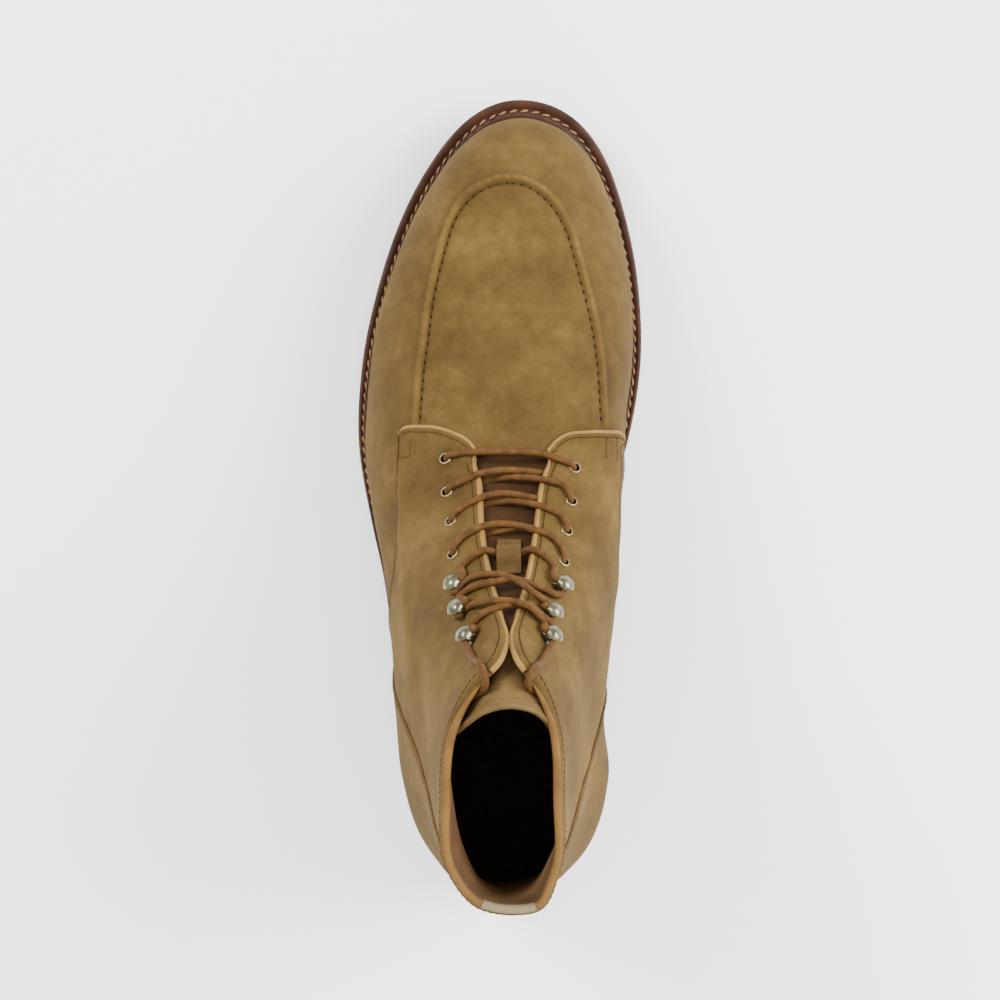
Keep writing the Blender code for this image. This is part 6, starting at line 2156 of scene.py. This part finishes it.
# Over the top and down inside: where along the edge, drop below it, lift off the leather.
LACE_END_FALL = ((92.6, -0.9, 1.7), (91.4, -2.0, -0.9), (89.8, 0.6, -INSIDE_WALL),
                 (86.5, 5.5, -INSIDE_WALL), (82.5, 13.0, -INSIDE_WALL))


def edge_place(side, edge_y, drop, lift):
    """Point near a facing's edge: drop below it, or past it where negative; lift off the base surface."""
    at = real_row(side, Spot.row_where(edge_y))
    here, outward, toward_edge, _ = surface_frame(at, max(drop, 0.0))
    return here + toward_edge * max(-drop, 0.0) + outward * lift


def lace_end(side):
    """One free end, as a cord of its real length."""
    route = [hook_turn(side, 2)[-1], *(over_leather(x, y, 1.5) for x, y in LACE_ENDS[side]),
             *(edge_place(side, *fall) for fall in LACE_END_FALL)]
    path = smooth_path(route, 0.8)
    made = tube(f"lace_tail_{side}", path, LACE_RADIUS, LACE_SIDES, CORD)
    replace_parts(made, f"lace_end_{side}")


for side in FACINGS:
    lace_end(side)


# %% [markdown]
# The welt is a strip of leather sewn round the foot. Its section is drawn once, with a rounded outer rim
# and a shallow channel for the thread, and is swept round the sole's edge as one closed grid.

# %% Outline of the sole
def sole_loop(step):
    """Even stations round the sole's edge: points and outward directions in plan."""
    points = np.vstack([SAMPLES["lateral"], SAMPLES["medial"][::-1][1:-1]])
    out = np.vstack([NORMALS["lateral"], NORMALS["medial"][::-1][1:-1]])
    points, out = np.vstack([points, points[:1]]), np.vstack([out, out[:1]])
    lengths = run_lengths(points)
    wanted = np.linspace(0, lengths[-1], int(lengths[-1] / step) + 1)
    return read_along(lengths, points, wanted), units(read_along(lengths, out, wanted))


def smoothed(values, window):
    """Running mean round a closed line."""
    open_line = values[:-1]
    total = sum(np.roll(open_line, k, axis=0) for k in range(-window, window + 1)) / (2 * window + 1)
    return np.vstack([total, total[:1]])


LOOP_POINTS, LOOP_OUT = sole_loop(1.5)
LOOP_OUT = units(smoothed(LOOP_OUT, 3))
print("stations round the sole:", len(LOOP_POINTS))


# How far the welt's thread runs inside its edge: the upper stands out over it along the sides.
WELT_THREAD = (
    # y, inset
    (0.0, 1.6), (130.0, 1.6), (165.0, 1.9), (200.0, 2.5), (235.0, 3.1), (265.0, 3.7), (303.0, 4.2),
)
WELT_CHANNEL = 4.0          # inset of the channel's middle in the welt's section
OUTER_PART = 6.0            # the part of the welt's section that is drawn in along the sides


def narrowed(y):
    """How much of its full width the welt's outer part has at y."""
    return smooth_value(WELT_THREAD, min(max(y, 0.0), SOLE_LENGTH)) / WELT_CHANNEL


def swept_ring(name, section_points, height_at, finishes, narrow=lambda y: 1.0):
    """A closed section of (inset, height) swept round the sole's edge."""
    places = []
    for point, out in zip(LOOP_POINTS, LOOP_OUT):
        ring = []
        for inset, rise in [*section_points, section_points[0]]:
            drawn_in = inset * narrow(point[1]) if inset < OUTER_PART else inset
            x, y = point - out * drawn_in
            ring.append((x, y, height_at(y) + rise))
        places.append(ring)
    places = np.array(places)
    shape = laid_grid(places, grid_uvs(places))
    return finish_piece(name, shape, finishes, smooth=40)


# %% [markdown]
# The welt's own section has a rounded rim, a flat for the eye and the channel that the thread lies in.

# %% Welt
WELT_SECTION = (
    # inset, height over the welt's top
    (0.35, -1.95), (0.05, -1.5), (0.0, -1.0), (0.1, -0.5), (0.4, -0.12), (0.9, 0.04), (1.6, 0.06),
    (2.3, 0.0), (2.75, -0.12), (3.1, -0.38), (3.6, -0.5), (4.4, -0.5), (4.9, -0.36), (5.3, -0.1),
    (6.2, -0.02), (9.0, -0.1), (13.0, -0.1), (13.0, -1.95),
)
welt = swept_ring("welt_strip", WELT_SECTION, feather_height, [WELT_LEATHER], narrowed)
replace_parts(welt, "welt")

# %% [markdown]
# The welt is sewn to the sole with thick cream thread, which lies a little aslant in its channel. The
# seam stops at the heel, where the welt runs in under the counter.

# %% Welt stitches
WELT_STITCH_PITCH = 4.2
WELT_STITCH_SIZE = (1.75, 0.52, 0.5)
WELT_STITCH_SLANT = math.radians(14)
WELT_STITCH_FROM_Y = 60.0


def welt_stitches():
    """Stitches in the welt's channel, from one side of the heel round the toe to the other."""
    shape = bmesh.new()
    inset = WELT_CHANNEL * np.array([narrowed(y) for y in LOOP_POINTS[:, 1]])
    flat = LOOP_POINTS - LOOP_OUT * inset[:, None]
    points = np.array([(x, y, feather_height(y) - 0.22) for x, y in flat])
    keep = points[:, 1] > WELT_STITCH_FROM_Y
    start = np.flatnonzero(np.diff(keep.astype(int)) == 1)[0] + 1
    line = np.roll(points[:-1], -start, axis=0)[: int(keep[:-1].sum())]
    up = np.tile([0.0, 0.0, 1.0], (len(line), 1))
    run = units(np.gradient(line, axis=0))
    count = dots_along(shape, line, up, run, WELT_STITCH_PITCH, WELT_STITCH_SIZE, slant=WELT_STITCH_SLANT)
    finish_piece("welt_stitches", shape, [CREAM_THREAD], merge=0)
    print("welt stitches:", count)


welt_stitches()

# %% [markdown]
# Under the welt lie the midsole, a leather board, and the rubber outsole. Both are swept like the welt;
# the outsole also has its underside, a grid from edge to edge that follows the arch and the toe spring.

# %% Midsole
MIDSOLE_SECTION = (
    (0.75, 0.02), (0.5, 0.3), (0.42, 1.2), (0.42, 2.3), (0.5, 3.2), (0.75, 3.48), (14.0, 3.48),
    (14.0, 0.02),
)
midsole = swept_ring("midsole_board", MIDSOLE_SECTION, lambda y: tread(y) + OUTSOLE_THICK, [EDGE_LEATHER])
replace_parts(midsole, "midsole")

# %% [markdown]
# The outsole is the rubber that treads the ground. Its solid is a grid rolled up round rings, one at each
# station from heel to toe. Its studs stand in round hollows, turned by a spin and cut by a boolean.

# %% Outsole
STUD_DEPTH = 1.7
OUTSOLE_STATIONS = 150
FOREFOOT_STUDS = (
    # x, y
    (6.6, 278.5), (-13.1, 258.5), (23.9, 257.0), (1.9, 234.1), (-23.0, 230.5), (27.5, 232.1),
    (0.3, 204.4), (28.9, 206.2), (-28.0, 200.9), (13.5, 177.6), (-17.9, 172.0),
)
OUTSOLE_SECTION = (
    # share of the way down the edge, inset
    (0.0, 0.35), (0.04, 0.1), (0.12, 0.0), (0.5, 0.02), (0.86, 0.15), (0.95, 0.4), (1.0, 0.9),
)


def outsole_solid():
    """Rings round the sole's section at each station: top, edge, underside, edge."""
    places = []
    for turn in np.linspace(0, math.pi, OUTSOLE_STATIONS):
        y = SOLE_LENGTH * (1 - math.cos(turn)) / 2
        outer, inner = (np.interp(y, SAMPLES[side][:, 1], SAMPLES[side][:, 0]) for side in BOTH_SIDES)
        middle, half = (outer + inner) / 2, max((inner - outer) / 2, 0.0)
        low, high = tread(y), tread(y) + OUTSOLE_THICK - 0.3
        edge = [(max(half - gone, 0.0), high + (low - high) * share) for share, gone in OUTSOLE_SECTION]
        ring = [(middle - reach, y, z) for reach, z in edge]
        left, right = middle - edge[-1][0], middle + edge[-1][0]
        ring += [(left + (right - left) * f, y, low) for f in np.linspace(0.04, 0.96, 24)]
        ring += [(middle + reach, y, z) for reach, z in reversed(edge)]
        left, right = middle - edge[0][0], middle + edge[0][0]
        ring += [(right + (left - right) * f, y, high) for f in (0.25, 0.5, 0.75)]
        places.append([*ring, ring[0]])
    return laid_grid(np.array(places))


# %% [markdown]
# Each stud stands in a ring-shaped hollow. One outline of that hollow is spun round, turned to the slope
# of the tread and set down at every stud; a frame is cut the same way in the sole's waist, round a bare
# field. All cutters are joined first, so that the boolean runs once.

# %% Studs and frame of the outsole
STUD_CUT = (
    # radius, rise from the tread: the ring-shaped hollow round a stud
    (4.0, -0.5), (4.15, 0.0), (4.5, 0.9), (4.9, 1.5), (5.6, STUD_DEPTH), (6.4, 1.62), (7.6, 1.0),
    (8.7, 0.2), (9.1, -0.5),
)


def tread_rise(y):
    """How much the tread rises over the four millimetres round y."""
    return tread(y + 2) - tread(y - 2)


def join_into(whole, part):
    """Adds one shape to another and frees it."""
    data = bpy.data.meshes.new("part")
    part.to_mesh(data)
    part.free()
    whole.from_mesh(data)
    bpy.data.meshes.remove(data)


def stud_cutter(shape, x, y, height, tilt, grow=1.0):
    """Adds the ring-shaped hollow round one stud to the cutters."""
    ring = spun([(radius * grow, rise) for radius, rise in STUD_CUT], 40, closed=True)
    bmesh.ops.recalc_face_normals(ring, faces=ring.faces)
    move = Matrix.Translation(place((x, y, height))) @ Matrix.Rotation(tilt, 4, "X")
    bmesh.ops.transform(ring, matrix=move, verts=ring.verts)
    join_into(shape, ring)


def cut_with(target, cutter_shape, name):
    """Cuts the joined cutters from the target and applies it, so that no helper is left behind."""
    cutter = mesh_object(name, cutter_shape)
    boolean = target.modifiers.new("hollows", "BOOLEAN")
    boolean.operation = "DIFFERENCE"
    boolean.solver = "EXACT"
    boolean.object = cutter
    bpy.context.view_layer.update()
    graph = bpy.context.evaluated_depsgraph_get()
    cut_mesh = bpy.data.meshes.new_from_object(target.evaluated_get(graph))
    target.modifiers.remove(boolean)
    old = target.data
    target.data = cut_mesh
    cut_mesh.name = old.name
    bpy.data.objects.remove(cutter)
    target.data.set_sharp_from_angle(angle=math.radians(40))
    print(target.name, "after its hollows:", len(cut_mesh.polygons), "faces")


FRAME_MIDDLE = (-7.5, 127.6)
FRAME_SIZE = (34.2, 12.5)
FRAME_GROOVE = 1.0
FRAME_TURN = math.radians(6)


def frame_groove(shape):
    """Rectangular groove in the waist of the sole, round a bare field."""
    x, y = FRAME_MIDDLE
    height, slope = tread(y), tread_rise(y) / 4
    places = []
    for sign_x, sign_y in ((-1, -1), (1, -1), (1, 1), (-1, 1), (-1, -1)):
        ring = []
        for grow, rise in ((0, -0.6), (0, 0.6), (-FRAME_GROOVE, 0.6), (-FRAME_GROOVE, -0.6), (0, -0.6)):
            across = sign_x * (FRAME_SIZE[0] / 2 + grow)
            forward = sign_y * (FRAME_SIZE[1] / 2 + grow)
            turned_x = across * math.cos(FRAME_TURN) - forward * math.sin(FRAME_TURN)
            turned_y = across * math.sin(FRAME_TURN) + forward * math.cos(FRAME_TURN)
            ring.append((x + turned_x, y + turned_y, height + slope * turned_y + rise))
        places.append(ring)
    groove = laid_grid(np.array(places))
    merge_doubles(groove)
    bmesh.ops.recalc_face_normals(groove, faces=groove.faces)
    join_into(shape, groove)


outsole = finish_piece("outsole_rubber", outsole_solid(), [RUBBER], smooth=40)
outsole_hollows = bmesh.new()
for x, y in FOREFOOT_STUDS:
    stud_cutter(outsole_hollows, x, y, tread(y), math.atan2(tread_rise(y), 4))
frame_groove(outsole_hollows)
cut_with(outsole, outsole_hollows, "outsole_hollows")
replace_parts(outsole, "outsole")

# %% [markdown]
# The heel is one block of the same rubber, a little smaller at the floor than at the sole, with three
# studs of its own and the tapered holes over the sunk nails that hold it.

# %% Heel block
HEEL_BREAST_MIDDLE = 86.0
HEEL_BREAST_RISE = 7.5
HEEL_STUDS = ((14.2, 64.5), (-17.6, 63.6), (0.4, 37.8))
HEEL_STUD_GROW = 1.06       # the heel's studs are a little wider than the forefoot's
NAIL_HOLES = ((27.1, 75.4), (-2.6, 73.6), (-32.4, 71.2), (28.5, 50.3), (-29.9, 46.2))


def heel_outline(inset):
    """Closed outline of the heel: up the outer side, along the hollow breast, down the inner side."""
    lateral, medial = inset_edge("lateral", inset), inset_edge("medial", inset)
    ends = (HEEL_BREAST_MIDDLE + HEEL_BREAST_RISE, HEEL_BREAST_MIDDLE + HEEL_BREAST_RISE + 3)
    left, right = [], []
    for k in range(40):
        share = 1 - math.cos(math.pi / 2 * (k + 0.5) / 39.5)
        for line, table, end in ((left, lateral, ends[0]), (right, medial, ends[1])):
            y = inset + (end - inset) * share
            line.append((np.interp(y, table[:, 1], table[:, 0]), y))
    breast = []
    for f in np.linspace(0, 1, 24)[1:-1]:
        start, stop = np.array(left[-1]), np.array(right[-1])
        x, y = start + (stop - start) * f
        breast.append((x, y - 4 * HEEL_BREAST_RISE * f * (1 - f)))
    return left + breast + right[::-1]


HEEL_SECTION = (
    # inset, share of the way up
    (2.9, 0.0), (2.3, 0.02), (2.0, 0.06), (1.6, 0.3), (1.0, 0.7), (0.6, 0.97), (0.9, 1.0),
)


def heel_solid():
    """The block: its outline at each height, from the floor up to the tread, with both ends filled."""
    rings = []
    for inset, share in HEEL_SECTION:
        loop = heel_outline(inset)
        rings.append([(x, y, (tread(y) - CURVED_GAP) * share) for x, y in [*loop, loop[0]]])
    shape = laid_grid(np.array(rings))
    merge_doubles(shape)
    cap_ends(shape)
    return shape


def nail_cutter(shape, x, y):
    """Adds the tapered hole over one sunk nail to the cutters."""
    bmesh.ops.create_cone(shape, cap_ends=True, segments=20, radius1=1.35 * MM, radius2=1.05 * MM,
                          depth=2.6 * MM, matrix=Matrix.Translation(place((x, y, 0.9))))


heel = finish_piece("heel_rubber", heel_solid(), [RUBBER], smooth=40)
heel_hollows = bmesh.new()
for x, y in HEEL_STUDS:
    stud_cutter(heel_hollows, x, y, 0.0, 0.0, HEEL_STUD_GROW)
for x, y in NAIL_HOLES:
    nail_cutter(heel_hollows, x, y)
cut_with(heel, heel_hollows, "heel_hollows")
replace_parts(heel, "heel")

# %% [markdown]
# Inside, only the insole shows. Its solid has the right shape and stays, with a near-black finish that is
# painted shade deep in the shaft.

# %% Insole
# Near-black: painted shade deep inside the shaft.
INSOLE_LEATHER = smooth_leather("insole_painted_shade", tint(20, 13, 8), tint(34, 23, 15), 0.8)
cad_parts["insole"].data.materials.clear()
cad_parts["insole"].data.materials.append(INSOLE_LEATHER)
